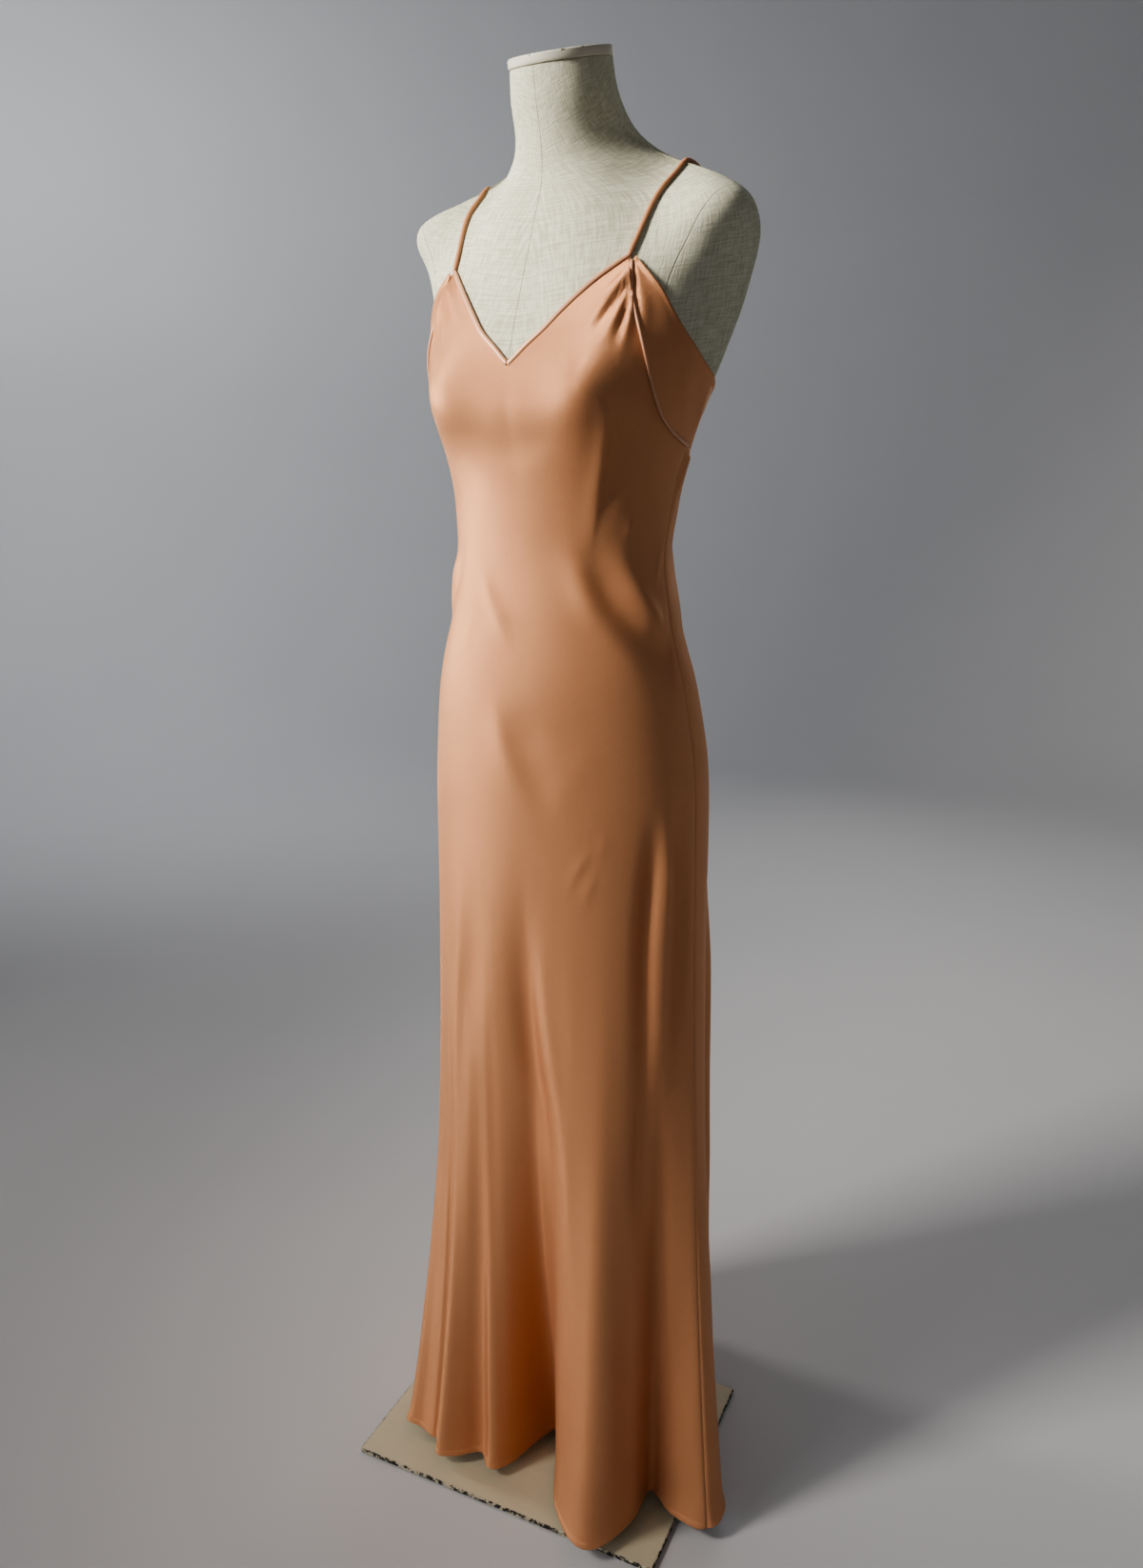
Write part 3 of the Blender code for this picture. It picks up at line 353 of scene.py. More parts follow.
# ---- Curves through tables ------------------------------------------------------------------------
def smooth_curve(knots, values, at):
    """Cubic through the knots that never overshoots them."""
    knots = np.asarray(knots, float)
    values = np.asarray(values, float)
    at = np.clip(np.asarray(at, float), knots[0], knots[-1])
    steps = np.diff(knots)
    slopes = np.diff(values) / steps
    tangents = np.concatenate([slopes[:1], np.zeros(len(slopes) - 1), slopes[-1:]])
    before, after = slopes[:-1], slopes[1:]
    same_way = before * after > 0.0
    tangents[1:-1] = np.where(same_way, 2.0 * before * after / np.where(same_way, before + after, 1.0), 0.0)
    i = np.clip(np.searchsorted(knots, at, side="right") - 1, 0, len(steps) - 1)
    t = (at - knots[i]) / steps[i]
    return (values[i] * (1.0 + 2.0 * t) * (1.0 - t) ** 2 + steps[i] * tangents[i] * t * (1.0 - t) ** 2
            + values[i + 1] * t * t * (3.0 - 2.0 * t) - steps[i] * tangents[i + 1] * t * t * (1.0 - t))


def softened(values, spread):
    """Running average with a bell-shaped weight, the ends carried on straight."""
    reach = int(3 * spread)
    weight = np.exp(-0.5 * (np.arange(-reach, reach + 1) / spread) ** 2)
    before = values[0] + (values[0] - values[1]) * np.arange(reach, 0, -1)
    after = values[-1] + (values[-1] - values[-2]) * np.arange(1, reach + 1)
    return np.convolve(np.concatenate([before, values, after]), weight / weight.sum(), mode="valid")


LEVELS = np.arange(0.780, 1.6021, 0.001)
LEVELS_SOFTENED = 7.0
BODY_UP = BODY[::-1]


def body_curve(name):
    """One measure of the form at each level, softened between its sections."""
    heights = [row.height for row in BODY_UP]
    values = [getattr(row, name) for row in BODY_UP]
    return softened(smooth_curve(heights, values, LEVELS), LEVELS_SOFTENED)


BODY_CURVES = {name: body_curve(name) for name in Section._fields[1:]}


def body_value(name, height):
    return np.interp(height, LEVELS, BODY_CURVES[name])


def edge_height(table, angle):
    """Height of an edge at an angle from the centre front, the same on both sides."""
    folded = np.abs((np.asarray(angle, float) + 180.0) % 360.0 - 180.0)
    return smooth_curve([p.angle for p in table], [p.height for p in table], folded)


def ramp(value):
    """Soft step from 0 to 1."""
    value = np.clip(value, 0.0, 1.0)
    return value * value * (3.0 - 2.0 * value)


def body_point(angle, height, ease):
    """Point on the dress form's section at a height, moved out by the ease."""
    turn = np.radians(np.asarray(angle, float) - 90.0)
    exponent = 2.0 / body_value("power", height)
    widest = body_value("widest", height)
    across = np.sign(np.cos(turn)) * np.abs(np.cos(turn)) ** exponent
    along = np.sign(np.sin(turn)) * np.abs(np.sin(turn)) ** exponent
    depth = np.where(along < 0.0, widest - body_value("front", height), body_value("back", height) - widest)
    x = (body_value("half_width", height) + ease) * across
    y = (depth + ease) * along
    spread_up = np.where(np.asarray(height) > BUST_HEIGHT, BUST_RISE, BUST_FALL)
    away = ((np.abs(x) - BUST_HALF_SPACING) / BUST_SPREAD) ** 2 + ((height - BUST_HEIGHT) / spread_up) ** 2
    swell = np.exp(-(away + 0.01) ** 0.85)
    bridge = np.exp(-(x / BUST_BRIDGE_SPREAD) ** 2 - ((height - BUST_HEIGHT) / spread_up) ** 2)
    reach = BUST_FULLNESS + CLOTH_BUST_SHARE * ease
    fullness = reach * (swell + BUST_BRIDGE * bridge) * ramp(-2.6 * along)
    hollow = np.exp(-((np.abs(x) - HOLLOW_FROM_MIDDLE) / HOLLOW_SPREAD) ** 2
                    - ((height - HOLLOW_HEIGHT) / HOLLOW_RISE) ** 2)
    y = y * (1.0 - HOLLOW_SHARE * hollow * ramp(-4.0 * along))
    tilt = np.radians(body_value("tilt", height))
    place = (x, widest + y * np.cos(tilt) - fullness, height + y * np.sin(tilt))
    return np.stack(np.broadcast_arrays(*place), -1)


# ---- Hem outline from the fold table --------------------------------------------------------------
HEM_SAMPLES = 24


def fold_points(fold):
    """Shoulder, crest, shoulder and valley of one fold, each with its hanging power."""
    heading = math.radians(fold.heading)
    out = np.array([math.cos(heading), math.sin(heading)])
    side = np.array([-out[1], out[0]])
    crest = np.array([fold.crest_x, fold.crest_y])
    middle = crest - 0.5 * fold.width * out
    near = middle - 0.5 * fold.width * side
    far = middle + 0.5 * fold.width * side
    return [(*near, fold.crest_power), (*crest, fold.crest_power), (*far, fold.crest_power),
            (fold.valley_x, fold.valley_y, fold.valley_power)]


def hem_outline():
    """Closed rounded curve through all the folds, and where each side seam falls on it."""
    points = np.array([p for fold in FOLDS for p in fold_points(fold)])
    count = len(points)
    samples = []
    for i in range(count):
        p0, p1, p2, p3 = (points[(i + k) % count] for k in (-1, 0, 1, 2))
        spans = [max(np.linalg.norm((b - a)[:2]), 1e-6) ** 0.5 for a, b in ((p0, p1), (p1, p2), (p2, p3))]
        t0, t1, t2, t3 = np.cumsum([0.0] + spans)
        t = np.linspace(t1, t2, HEM_SAMPLES, endpoint=False)[:, None]
        a1 = (p0 * (t1 - t) + p1 * (t - t0)) / (t1 - t0)
        a2 = (p1 * (t2 - t) + p2 * (t - t1)) / (t2 - t1)
        a3 = (p2 * (t3 - t) + p3 * (t - t2)) / (t3 - t2)
        b1 = (a1 * (t2 - t) + a2 * (t - t0)) / (t2 - t0)
        b2 = (a2 * (t3 - t) + a3 * (t - t1)) / (t3 - t1)
        samples.append((b1 * (t2 - t) + b2 * (t - t1)) / (t2 - t1))
    seam_samples = [(4 * fold + 1) * HEM_SAMPLES for fold in (RIGHT_SEAM_FOLD, LEFT_SEAM_FOLD)]
    return np.concatenate(samples), seam_samples


def running_length(points):
    """Distance along a line of points, from 0 to 1."""
    steps = np.linalg.norm(np.diff(points[:, :2], axis=0), axis=1)
    length = np.concatenate([[0.0], np.cumsum(steps)])
    return length / length[-1]


HEM_LINE, (RIGHT_SEAM, LEFT_SEAM) = hem_outline()
POWER_THRICE = np.concatenate([HEM_LINE[:, 2]] * 3)
HEM_LINE[:, 2] = softened(POWER_THRICE, 0.6 * HEM_SAMPLES)[len(HEM_LINE):2 * len(HEM_LINE)]
HEM = {"front": HEM_LINE[RIGHT_SEAM:LEFT_SEAM + 1],
       "back": np.concatenate([HEM_LINE[LEFT_SEAM:], HEM_LINE[:RIGHT_SEAM + 1]])}


# ---- The dress surface ----------------------------------------------------------------------------
HIP_SAMPLES = 241
FLAT_STEP = 0.010         # height between the rows of the cloth's table of lengths
FLAT_COLUMNS = 160
CREASE_SAMPLES = 7        # places between two points of a crease's path
CREASE_REACH = 4.0        # a crease is worked out within this many of its widths
UP_STEP = 0.003
PANEL_STEP = 0.004        # share of a panel's width
ANGLE_STEP = 0.5


def soft_above(value, spread):
    """value where it is well above zero, zero well below, with a rounded corner between."""
    return 0.5 * (value + np.sqrt(value * value + spread * spread))


def panel_angle(panel, across, height):
    """Angle round the body of a place across a panel, 0 at one side seam and 1 at the other."""
    side = smooth_curve([p.height for p in SIDE_SEAM], [p.angle for p in SIDE_SEAM], height)
    if panel == "front":
        return side * (2.0 * across - 1.0)
    return side + across * (360.0 - 2.0 * side)


def hip_fraction(panel, across):
    """How much of the hip's girth on this panel lies before a place across it."""
    places = np.linspace(0.0, 1.0, HIP_SAMPLES)
    ring = body_point(panel_angle(panel, places, HIP_LEVEL), HIP_LEVEL, EASE)
    return np.interp(across, places, running_length(ring))


def smooth_dress_point(panel, across, height):
    """Inner face of the dress before its creases."""
    across = np.asarray(across, float)
    height = np.asarray(height, float)
    level = HIP_LEVEL + soft_above(height - HIP_LEVEL, 0.030)
    worn = body_point(panel_angle(panel, across, level), level, EASE)
    share = hip_fraction(panel, across)
    line = HEM[panel]
    travelled = running_length(line)
    hem_x, hem_y, power = (np.interp(share, travelled, line[:, k]) for k in range(3))
    drop = np.clip(soft_above((HIP_LEVEL - height) / (HIP_LEVEL - HEM_HEIGHT), 0.030), 0.0, 1.0) ** power
    x = worn[..., 0] + (hem_x - worn[..., 0]) * drop
    y = worn[..., 1] + (hem_y - worn[..., 1]) * drop
    return np.stack(np.broadcast_arrays(x, y, height), -1)


def outward(point_at, across, height, step):
    """Unit normals of a surface given as a function of place and height."""
    along = point_at(across + step, height) - point_at(across - step, height)
    up = point_at(across, height + UP_STEP) - point_at(across, height - UP_STEP)
    normal = np.cross(along, up)
    return normal / np.linalg.norm(normal, axis=-1, keepdims=True)


def flat_table(panel):
    """Distance along the cloth from the panel's middle, for a grid of heights and places across."""
    heights = np.arange(HEM_HEIGHT, STRAP_HEIGHT + FLAT_STEP, FLAT_STEP)
    places = np.linspace(0.0, 1.0, FLAT_COLUMNS + 1)
    points = smooth_dress_point(panel, places[None, :], heights[:, None] + 0.0 * places)
    steps = np.linalg.norm(np.diff(points, axis=1), axis=2)
    length = np.concatenate([np.zeros((len(heights), 1)), np.cumsum(steps, axis=1)], axis=1)
    middle = FLAT_COLUMNS // 2
    return length - length[:, middle:middle + 1]


FLAT = {panel: flat_table(panel) for panel in ("front", "back")}


def flat_across(panel, across, height):
    """The same distance at any place: cloth coordinates for the creases and the weave."""
    table = FLAT[panel]
    row = np.clip((np.asarray(height) - HEM_HEIGHT) / FLAT_STEP, 0.0, table.shape[0] - 1.001)
    column = np.clip(np.asarray(across) * FLAT_COLUMNS, 0.0, FLAT_COLUMNS - 0.001)
    i, j = row.astype(int), column.astype(int)
    r, c = row - i, column - j
    return ((table[i, j] * (1 - c) + table[i, j + 1] * c) * (1 - r)
            + (table[i + 1, j] * (1 - c) + table[i + 1, j + 1] * c) * r)


def crease_line(points):
    """Smooth line through a crease's places, as closely spaced points."""
    points = np.asarray(points, float)
    padded = np.concatenate([[2 * points[0] - points[1]], points, [2 * points[-1] - points[-2]]])
    t = np.linspace(0.0, 1.0, CREASE_SAMPLES, endpoint=False)[:, None]
    parts = []
    for p0, p1, p2, p3 in zip(padded, padded[1:], padded[2:], padded[3:]):
        parts.append(0.5 * (2 * p1 + (p2 - p0) * t + (2 * p0 - 5 * p1 + 4 * p2 - p3) * t ** 2
                            + (3 * p1 - p0 - 3 * p2 + p3) * t ** 3))
    return np.concatenate(parts + [points[-1:]])


def crease_height(panel, flat, height):
    """Sum of the panel's creases at places given in cloth coordinates."""
    total = np.zeros(flat.shape)
    for number, crease in enumerate(CREASES):
        if crease.panel != panel:
            continue
        path = np.array([(flat_across(panel, a, h), h) for a, h in crease.path])
        line = crease_line(path)
        low = line.min(axis=0) - CREASE_REACH * crease.width
        high = line.max(axis=0) + CREASE_REACH * crease.width
        near = (flat > low[0]) & (flat < high[0]) & (height > low[1]) & (height < high[1])
        place = np.column_stack([flat[near], height[near]])
        length = np.concatenate([[0.0], np.cumsum(np.linalg.norm(np.diff(line, axis=0), axis=1))])
        best = np.full(len(place), np.inf)
        along = np.zeros(len(place))
        side = np.zeros(len(place))
        for k in range(len(line) - 1):
            step = line[k + 1] - line[k]
            reach = np.clip(((place - line[k]) @ step) / (step @ step), 0.0, 1.0)
            away = place - line[k] - reach[:, None] * step
            far = np.hypot(away[:, 0], away[:, 1])
            closer = far < best
            best = np.where(closer, far, best)
            along = np.where(closer, (length[k] + reach * math.hypot(*step)) / length[-1], along)
            side = np.where(closer, np.sign(away[:, 0]), side)
        width = crease.width * (1.0 - crease.lean * side) * (0.85 + 0.3 * along)
        swell = 1.0 + 0.18 * np.sin(9.0 * along + 1.7 * number)
        strength = ramp(along / crease.grow) * ramp((1.0 - along) / crease.fade) * swell
        total[near] += crease.lift * strength * np.exp(-(best / width) ** 2)
    return total


SLOW_WAVES = ((31.0, 9.0, 0.5), (-47.0, 13.0, 0.3), (18.0, -21.0, 0.4), (73.0, 17.0, 0.15))


def slow_waves(flat, height, phase):
    """Faint unevenness of hanging satin, well below the size of the creases."""
    waves = 0.0
    for k, (across, up, size) in enumerate(SLOW_WAVES):
        waves = waves + size * np.sin(across * flat + up * height + phase + 2.1 * k)
    return waves


# ---- Mesh making ----------------------------------------------------------------------------------
def flat_grid(columns, rows):
    """Grid of quads, with the place of each corner on it: u across and v up, both from 0 to 1."""
    bm = bmesh.new()
    bmesh.ops.create_grid(bm, x_segments=columns, y_segments=rows, size=0.5)
    corner = np.array([v.co for v in bm.verts])
    return bm, corner[:, 0] + 0.5, corner[:, 1] + 0.5


def lay_grid(bm, points, cloth, **values):
    """Move a grid's corners to their points, and keep cloth coordinates and values for the finishes."""
    for vertex, point in zip(bm.verts, points):
        vertex.co = point
    for name, series in values.items():
        layer = bm.verts.layers.float.new(name)
        for vertex, value in zip(bm.verts, series):
            vertex[layer] = float(value)
    cloth_map = bm.loops.layers.uv.new("cloth")
    for face in bm.faces:
        for loop in face.loops:
            loop[cloth_map].uv = cloth[loop.vert.index]


def finish_object(name, bm, look):
    """Smooth-shaded object in the piece's finish, fixed to the part."""
    mesh = bpy.data.meshes.new(name)
    bm.to_mesh(mesh)
    bm.free()
    mesh.materials.append(look)
    mesh.shade_smooth()
    placed = bpy.data.objects.new(name, mesh)
    bpy.context.scene.collection.objects.link(placed)
    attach(placed, "root")
    return placed


def tube_mesh(path, normals, half_wide, half_thick, sides, shape=None):
    """Closed tube of an oval section along a path; shape(turn) scales the section round its turn."""
    path = np.asarray(path, float)
    tangents = np.gradient(path, axis=0)
    tangents /= np.linalg.norm(tangents, axis=1, keepdims=True)
    across = np.cross(tangents, normals)
    across /= np.linalg.norm(across, axis=1, keepdims=True)
    up = np.cross(across, tangents)
    run = np.concatenate([[0.0], np.cumsum(np.linalg.norm(np.diff(path, axis=0), axis=1))])
    count = len(path)
    half_wide = np.broadcast_to(half_wide, count)
    half_thick = np.broadcast_to(half_thick, count)
    bm, u, v = flat_grid(sides, count - 1)
    k = np.rint(v * (count - 1)).astype(int)
    turn = 2.0 * math.pi * u
    scale = 1.0 if shape is None else shape(turn)
    points = (path[k] + across[k] * (half_wide[k] * np.cos(turn) * scale)[:, None]
              + up[k] * (half_thick[k] * np.sin(turn) * scale)[:, None])
    cloth = np.column_stack([turn * half_wide[k], run[k]])
    # painted shade kept on the corners: highest along both edges of the strip, where it meets the cloth
    # under it
    lay_grid(bm, points, cloth, gutter=np.abs(np.cos(turn)) ** 8)
    bmesh.ops.remove_doubles(bm, verts=bm.verts, dist=1e-6)
    bmesh.ops.holes_fill(bm, edges=bm.edges, sides=sides)
    bmesh.ops.recalc_face_normals(bm, faces=bm.faces)
    return bm


# ---- Finishes -------------------------------------------------------------------------------------
class Number:
    """A number socket that can stand in a sum."""

    def __init__(self, finish, socket):
        self.finish = finish
        self.socket = socket

    def made(self, operation, *values, clamp=False):
        return self.finish.node("ShaderNodeMath", {"operation": operation, "use_clamp": clamp}, *values)

    def __add__(self, other):
        return self.made("ADD", self, other)

    def __radd__(self, other):
        return self.made("ADD", other, self)

    def __sub__(self, other):
        return self.made("SUBTRACT", self, other)

    def __rsub__(self, other):
        return self.made("SUBTRACT", other, self)

    def __mul__(self, other):
        return self.made("MULTIPLY", self, other)

    def __rmul__(self, other):
        return self.made("MULTIPLY", other, self)

    def sine(self):
        return self.made("SINE", self)

    def size(self):
        return self.made("ABSOLUTE", self)

    def clipped(self):
        return self.made("ADD", self, 0.0, clamp=True)

    def most(self, other):
        return self.made("MAXIMUM", self, other)

    def between(self, low, high):
        """0 below low, 1 above high, soft between."""
        soft = {"interpolation_type": "SMOOTHSTEP"}
        return self.finish.node("ShaderNodeMapRange", soft, self, low, high, 0.0, 1.0)


class Finish:
    """One material on a principled shader."""

    def __init__(self, name, **fixed):
        self.material = bpy.data.materials.new(name)
        self.material.use_nodes = True
        self.tree = self.material.node_tree
        self.shader = self.tree.nodes["Principled BSDF"]
        for socket, value in fixed.items():
            self.shader.inputs[socket.replace("_", " ")].default_value = value

    def join(self, value, socket):
        if isinstance(value, Number):
            value = value.socket
        if isinstance(value, bpy.types.NodeSocket):
            self.tree.links.new(value, socket)
        else:
            socket.default_value = value

    def node(self, kind, settings, *values, output=0):
        made = self.tree.nodes.new(kind)
        for name, value in settings.items():
            setattr(made, name, value)
        for place, value in enumerate(values):
            if value is not None:
                self.join(value, made.inputs[place])
        socket = made.outputs[output]
        return Number(self, socket) if socket.type == "VALUE" else socket

    def place(self):
        """Where a spot lies on the object, in metres."""
        return self.node("ShaderNodeTexCoord", {}, output=3)

    def cloth(self):
        """Where it lies on the piece's own cloth, in metres."""
        return self.node("ShaderNodeUVMap", {"uv_map": "cloth"})

    def kept(self, name):
        """A value kept on the piece's corners."""
        return self.node("ShaderNodeAttribute", {"attribute_name": name}, output=2)

    def noise(self, where, scale, detail, roughness):
        return self.node("ShaderNodeTexNoise", {}, where, None, scale, detail, roughness)

    def moved(self, where, scale=(1.0, 1.0, 1.0), turn=0.0, shift=(0.0, 0.0, 0.0)):
        return self.node("ShaderNodeMapping", {}, where, shift, (0.0, 0.0, turn), scale)

    def parts(self, where):
        made = self.tree.nodes.new("ShaderNodeSeparateXYZ")
        self.join(where, made.inputs[0])
        return [Number(self, socket) for socket in made.outputs]

    def blend(self, share, first, second):
        """Colour between two colours."""
        made = self.tree.nodes.new("ShaderNodeMix")
        made.data_type = "RGBA"
        self.join(share, made.inputs["Factor"])
        for value, socket in ((first, made.inputs[6]), (second, made.inputs[7])):
            self.join((*value, 1.0) if isinstance(value, tuple) else value, socket)
        return made.outputs[2]

    def bump(self, height, depth, strength):
        made = self.tree.nodes.new("ShaderNodeBump")
        made.inputs["Strength"].default_value = strength
        made.inputs["Distance"].default_value = depth
        self.join(height, made.inputs["Height"])
        return made.outputs[0]

    def wear(self, **surface):
        for name, value in surface.items():
            self.join(value, self.shader.inputs[name.replace("_", " ")])
        return self.material


THREAD = 0.00034          # satin, then stitching, then linen, from one repeat to the next
PICK = 0.00052
STITCH = 0.0022
LINEN_WARP = 0.0011
LINEN_WEFT = 0.0010
ARM_SEAM_FROM_MIDDLE = 0.1335
ARM_SEAM_FOOT = 1.36      # above this the form's arm seam leans and bends out
ARM_SEAM_LEAN = 0.055
ARM_SEAM_BEND = 3.06
BIAS = 45.0


def satin(name, light, deep, warp_turn):
    """Satin woven fine: long floats over a bias grain, a soft sheen, slightly uneven, with painted shade in
    its troughs and folds.
    """
    finish = Finish(name, Metallic=0.56, Specular_IOR_Level=0.40, Sheen_Weight=0.06, Sheen_Roughness=0.35,
                    Sheen_Tint=(1.0, 0.80, 0.62, 1.0), Specular_Tint=(1.0, 0.86, 0.68, 1.0),
                    Subsurface_Weight=0.06,
                    Subsurface_Radius=(0.010, 0.004, 0.002), Subsurface_Scale=0.6)
    cloth = finish.cloth()
    grain = finish.moved(cloth, turn=math.radians(warp_turn))
    along, over, _ = finish.parts(grain)
    threads = (over * (2.0 * math.pi / THREAD)).sine()
    picks = (along * (2.0 * math.pi / PICK)).sine()
    slubs = finish.noise(finish.moved(grain, (110.0, 900.0, 1.0)), 1.0, 3.0, 0.6)
    grains = finish.noise(finish.moved(grain, (520.0, 900.0, 1.0)), 1.0, 2.0, 0.6)
    clouds = finish.noise(finish.place(), 7.0, 3.0, 0.5)
    weave = 0.25 * threads + 0.12 * picks + 1.0 * slubs + 1.6 * grains
    tone = (0.35 * clouds + 0.45 * slubs + 0.4 * grains - 0.35).clipped()
    # painted shade: the kept "hollow" value turns the satin towards its deep colour in crease troughs and
    # inside the skirt's folds
    hollow = finish.kept("hollow")
    colour = finish.blend(tone, light, tuple(0.74 * c for c in light))
    colour = finish.blend(hollow, colour, deep)
    rough = 0.30 + 0.19 * grains + 0.06 * clouds
    return finish.wear(Base_Color=colour, Roughness=rough, Normal=finish.bump(weave, 0.00030, 0.70))


def trim_satin(name, light, deep):
    """Narrow bias strips: the same satin folded over, with shade painted dark along both edges of each
    strip, where it meets the cloth under it.
    """
    finish = Finish(name, Metallic=0.12, Specular_IOR_Level=0.6, Sheen_Weight=0.2, Sheen_Roughness=0.35,
                    Sheen_Tint=(1.0, 0.82, 0.68, 1.0))
    cloth = finish.cloth()
    round_way, run, _ = finish.parts(cloth)
    slubs = finish.noise(finish.moved(cloth, (900.0, 260.0, 1.0), turn=0.7), 1.0, 3.0, 0.6)
    pulls = finish.noise(finish.moved(cloth, (120.0, 90.0, 1.0)), 1.0, 2.0, 0.5)
    stitch = (run * (2.0 * math.pi / STITCH)).sine() * 0.5 + 0.5
    gutter = finish.kept("gutter")
    colour = finish.blend((0.5 * slubs + 0.5 * pulls).clipped(), light, deep)
    # painted shade along the strip's edges
    colour = finish.blend(0.80 * gutter, colour, tuple(0.40 * c for c in deep))
    height = slubs + 0.7 * pulls + 0.15 * stitch
    return finish.wear(Base_Color=colour, Roughness=0.38 + 0.14 * slubs,
                       Normal=finish.bump(height, 0.00015, 0.6))


def linen(name, light, shade):
    """Coarse plain-woven linen, painted thinly, its slubs running both ways on the cross."""
    finish = Finish(name, Specular_IOR_Level=0.3, Sheen_Weight=0.08, Sheen_Roughness=0.5)
    cloth = finish.cloth()
    warp_slub = finish.noise(finish.moved(cloth, (560.0, 48.0, 1.0)), 1.0, 3.0, 0.62)
    weft_slub = finish.noise(finish.moved(cloth, (44.0, 600.0, 1.0)), 1.0, 3.0, 0.62)
    round_way, up, _ = finish.parts(cloth)
    warp = (round_way * (2.0 * math.pi / LINEN_WARP)).sine()
    weft = (up * (2.0 * math.pi / LINEN_WEFT)).sine()
    place = finish.place()
    dust = finish.noise(place, 9.0, 4.0, 0.55)
    threads = 1.0 * warp_slub + 1.0 * weft_slub + 0.12 * (warp * weft)
    tone = (threads * 3.0 - 2.5 + (dust - 0.5) * 0.6).clipped()
    x, y, z = finish.parts(place)
    above = (z - ARM_SEAM_FOOT).most(0.0)
    arm_seam = ARM_SEAM_FROM_MIDDLE + ARM_SEAM_LEAN * above + ARM_SEAM_BEND * above * above
    arm_line = (1.0 - (x.size() - arm_seam).size().between(0.0002, 0.0010)) * z.between(1.18, 1.20)
    middle_line = 1.0 - x.size().between(0.0002, 0.0008)
    seam = arm_line.most(middle_line)
    colour = finish.blend(tone, shade, light)
    colour = finish.blend(0.60 * seam, colour, tuple(0.55 * c for c in shade))
    return finish.wear(Base_Color=colour, Roughness=0.78 + 0.14 * dust,
                       Normal=finish.bump(threads - 0.8 * seam, 0.00060, 0.80))


def chipped_paint(name, paint, bare, edge_mask_from, chip_scale, chip_share):
    """Old brushed paint over a dark ground, chipped where edge_mask is high."""
    finish = Finish(name, Specular_IOR_Level=0.45)
    place = finish.place()
    edge = edge_mask_from(finish, place)
    flakes = finish.noise(place, chip_scale, 4.0, 0.65)
    specks = finish.noise(place, chip_scale * 3.3, 3.0, 0.6)
    chips = (edge * chip_share + 0.62 * flakes + 0.25 * specks).between(0.85, 0.88)
    strokes = finish.moved(place, (14.0, 160.0, 160.0), turn=math.radians(PLATE_TURN))
    brush = finish.noise(strokes, 1.0, 3.0, 0.6)
    grime = finish.noise(place, 12.0, 5.0, 0.6)
    worn = finish.blend((0.5 * brush + 0.8 * grime - 0.35).clipped(), paint, tuple(0.80 * c for c in paint))
    worn = finish.blend((0.35 * edge).clipped(), worn, tuple(0.55 * c for c in paint))
    colour = finish.blend(chips, worn, bare)
    rough = 0.42 + 0.18 * grime + 0.20 * chips
    height = 0.25 * brush + 0.3 * grime - 1.0 * chips
    return finish.wear(Base_Color=colour, Roughness=rough, Normal=finish.bump(height, 0.00035, 0.6))


def plate_edge(finish, place):
    """1 at the rim of the base plate, 0 a few millimetres in."""
    centred = finish.moved(place, shift=(-PLATE_CENTRE[0], -PLATE_CENTRE[1], 0.0))
    turned = finish.moved(centred, turn=-math.radians(PLATE_TURN))
    x, y, z = finish.parts(turned)
    along = x.size() - (0.5 * PLATE_LENGTH - PLATE_EDGE)
    across = y.size() - (0.5 * PLATE_WIDTH - PLATE_EDGE)
    return along.between(0.0, PLATE_WORN).most(across.between(0.0, PLATE_WORN))


def cap_edge(finish, place):
    """High along the cap's rim, as kept on its corners."""
    return finish.kept("rim")


def brushed_steel():
    """Dull steel, brushed round the pole, with faint marks."""
    finish = Finish("brushed_steel", Metallic=1.0)
    place = finish.place()
    lines = finish.noise(finish.moved(place, (40.0, 40.0, 1500.0)), 1.0, 3.0, 0.6)
    marks = finish.noise(place, 30.0, 4.0, 0.6)
    dull = (lines * 0.7 + marks * 0.4 - 0.2).clipped()
    colour = finish.blend(dull, (0.50, 0.50, 0.49), (0.34, 0.34, 0.33))
    return finish.wear(Base_Color=colour, Roughness=0.28 + 0.2 * marks,
                       Normal=finish.bump(lines, 0.00004, 0.5))


PEACH = (0.715, 0.340, 0.176)
# the darker peach painted into crease troughs and fold hollows as shade
PEACH_IN_PAINTED_SHADE = (0.620, 0.258, 0.128)
satin_look = satin("peach_satin", PEACH, PEACH_IN_PAINTED_SHADE, BIAS)
band_look = satin("peach_satin_band", PEACH, PEACH_IN_PAINTED_SHADE, BIAS)
# the binding and cord are coloured lighter than the same satin in the panels: a painted highlight for the
# light their raised strips catch
trim_look_painted_highlight = trim_satin("peach_bias_trim", (0.780, 0.440, 0.270), (0.600, 0.280, 0.150))
strap_look = trim_satin("peach_rouleau", (0.640, 0.310, 0.160), (0.470, 0.200, 0.090))
linen_look = linen("ivory_linen", (0.690, 0.685, 0.545), (0.470, 0.460, 0.335))
plate_look = chipped_paint("cream_plate_paint", (0.640, 0.575, 0.415), (0.020, 0.018, 0.015),
                           plate_edge, 140.0, 0.44)
cap_look = chipped_paint("ivory_cap_paint", (0.660, 0.630, 0.520), (0.075, 0.045, 0.028),
                         cap_edge, 90.0, 0.38)
steel_look = brushed_steel()


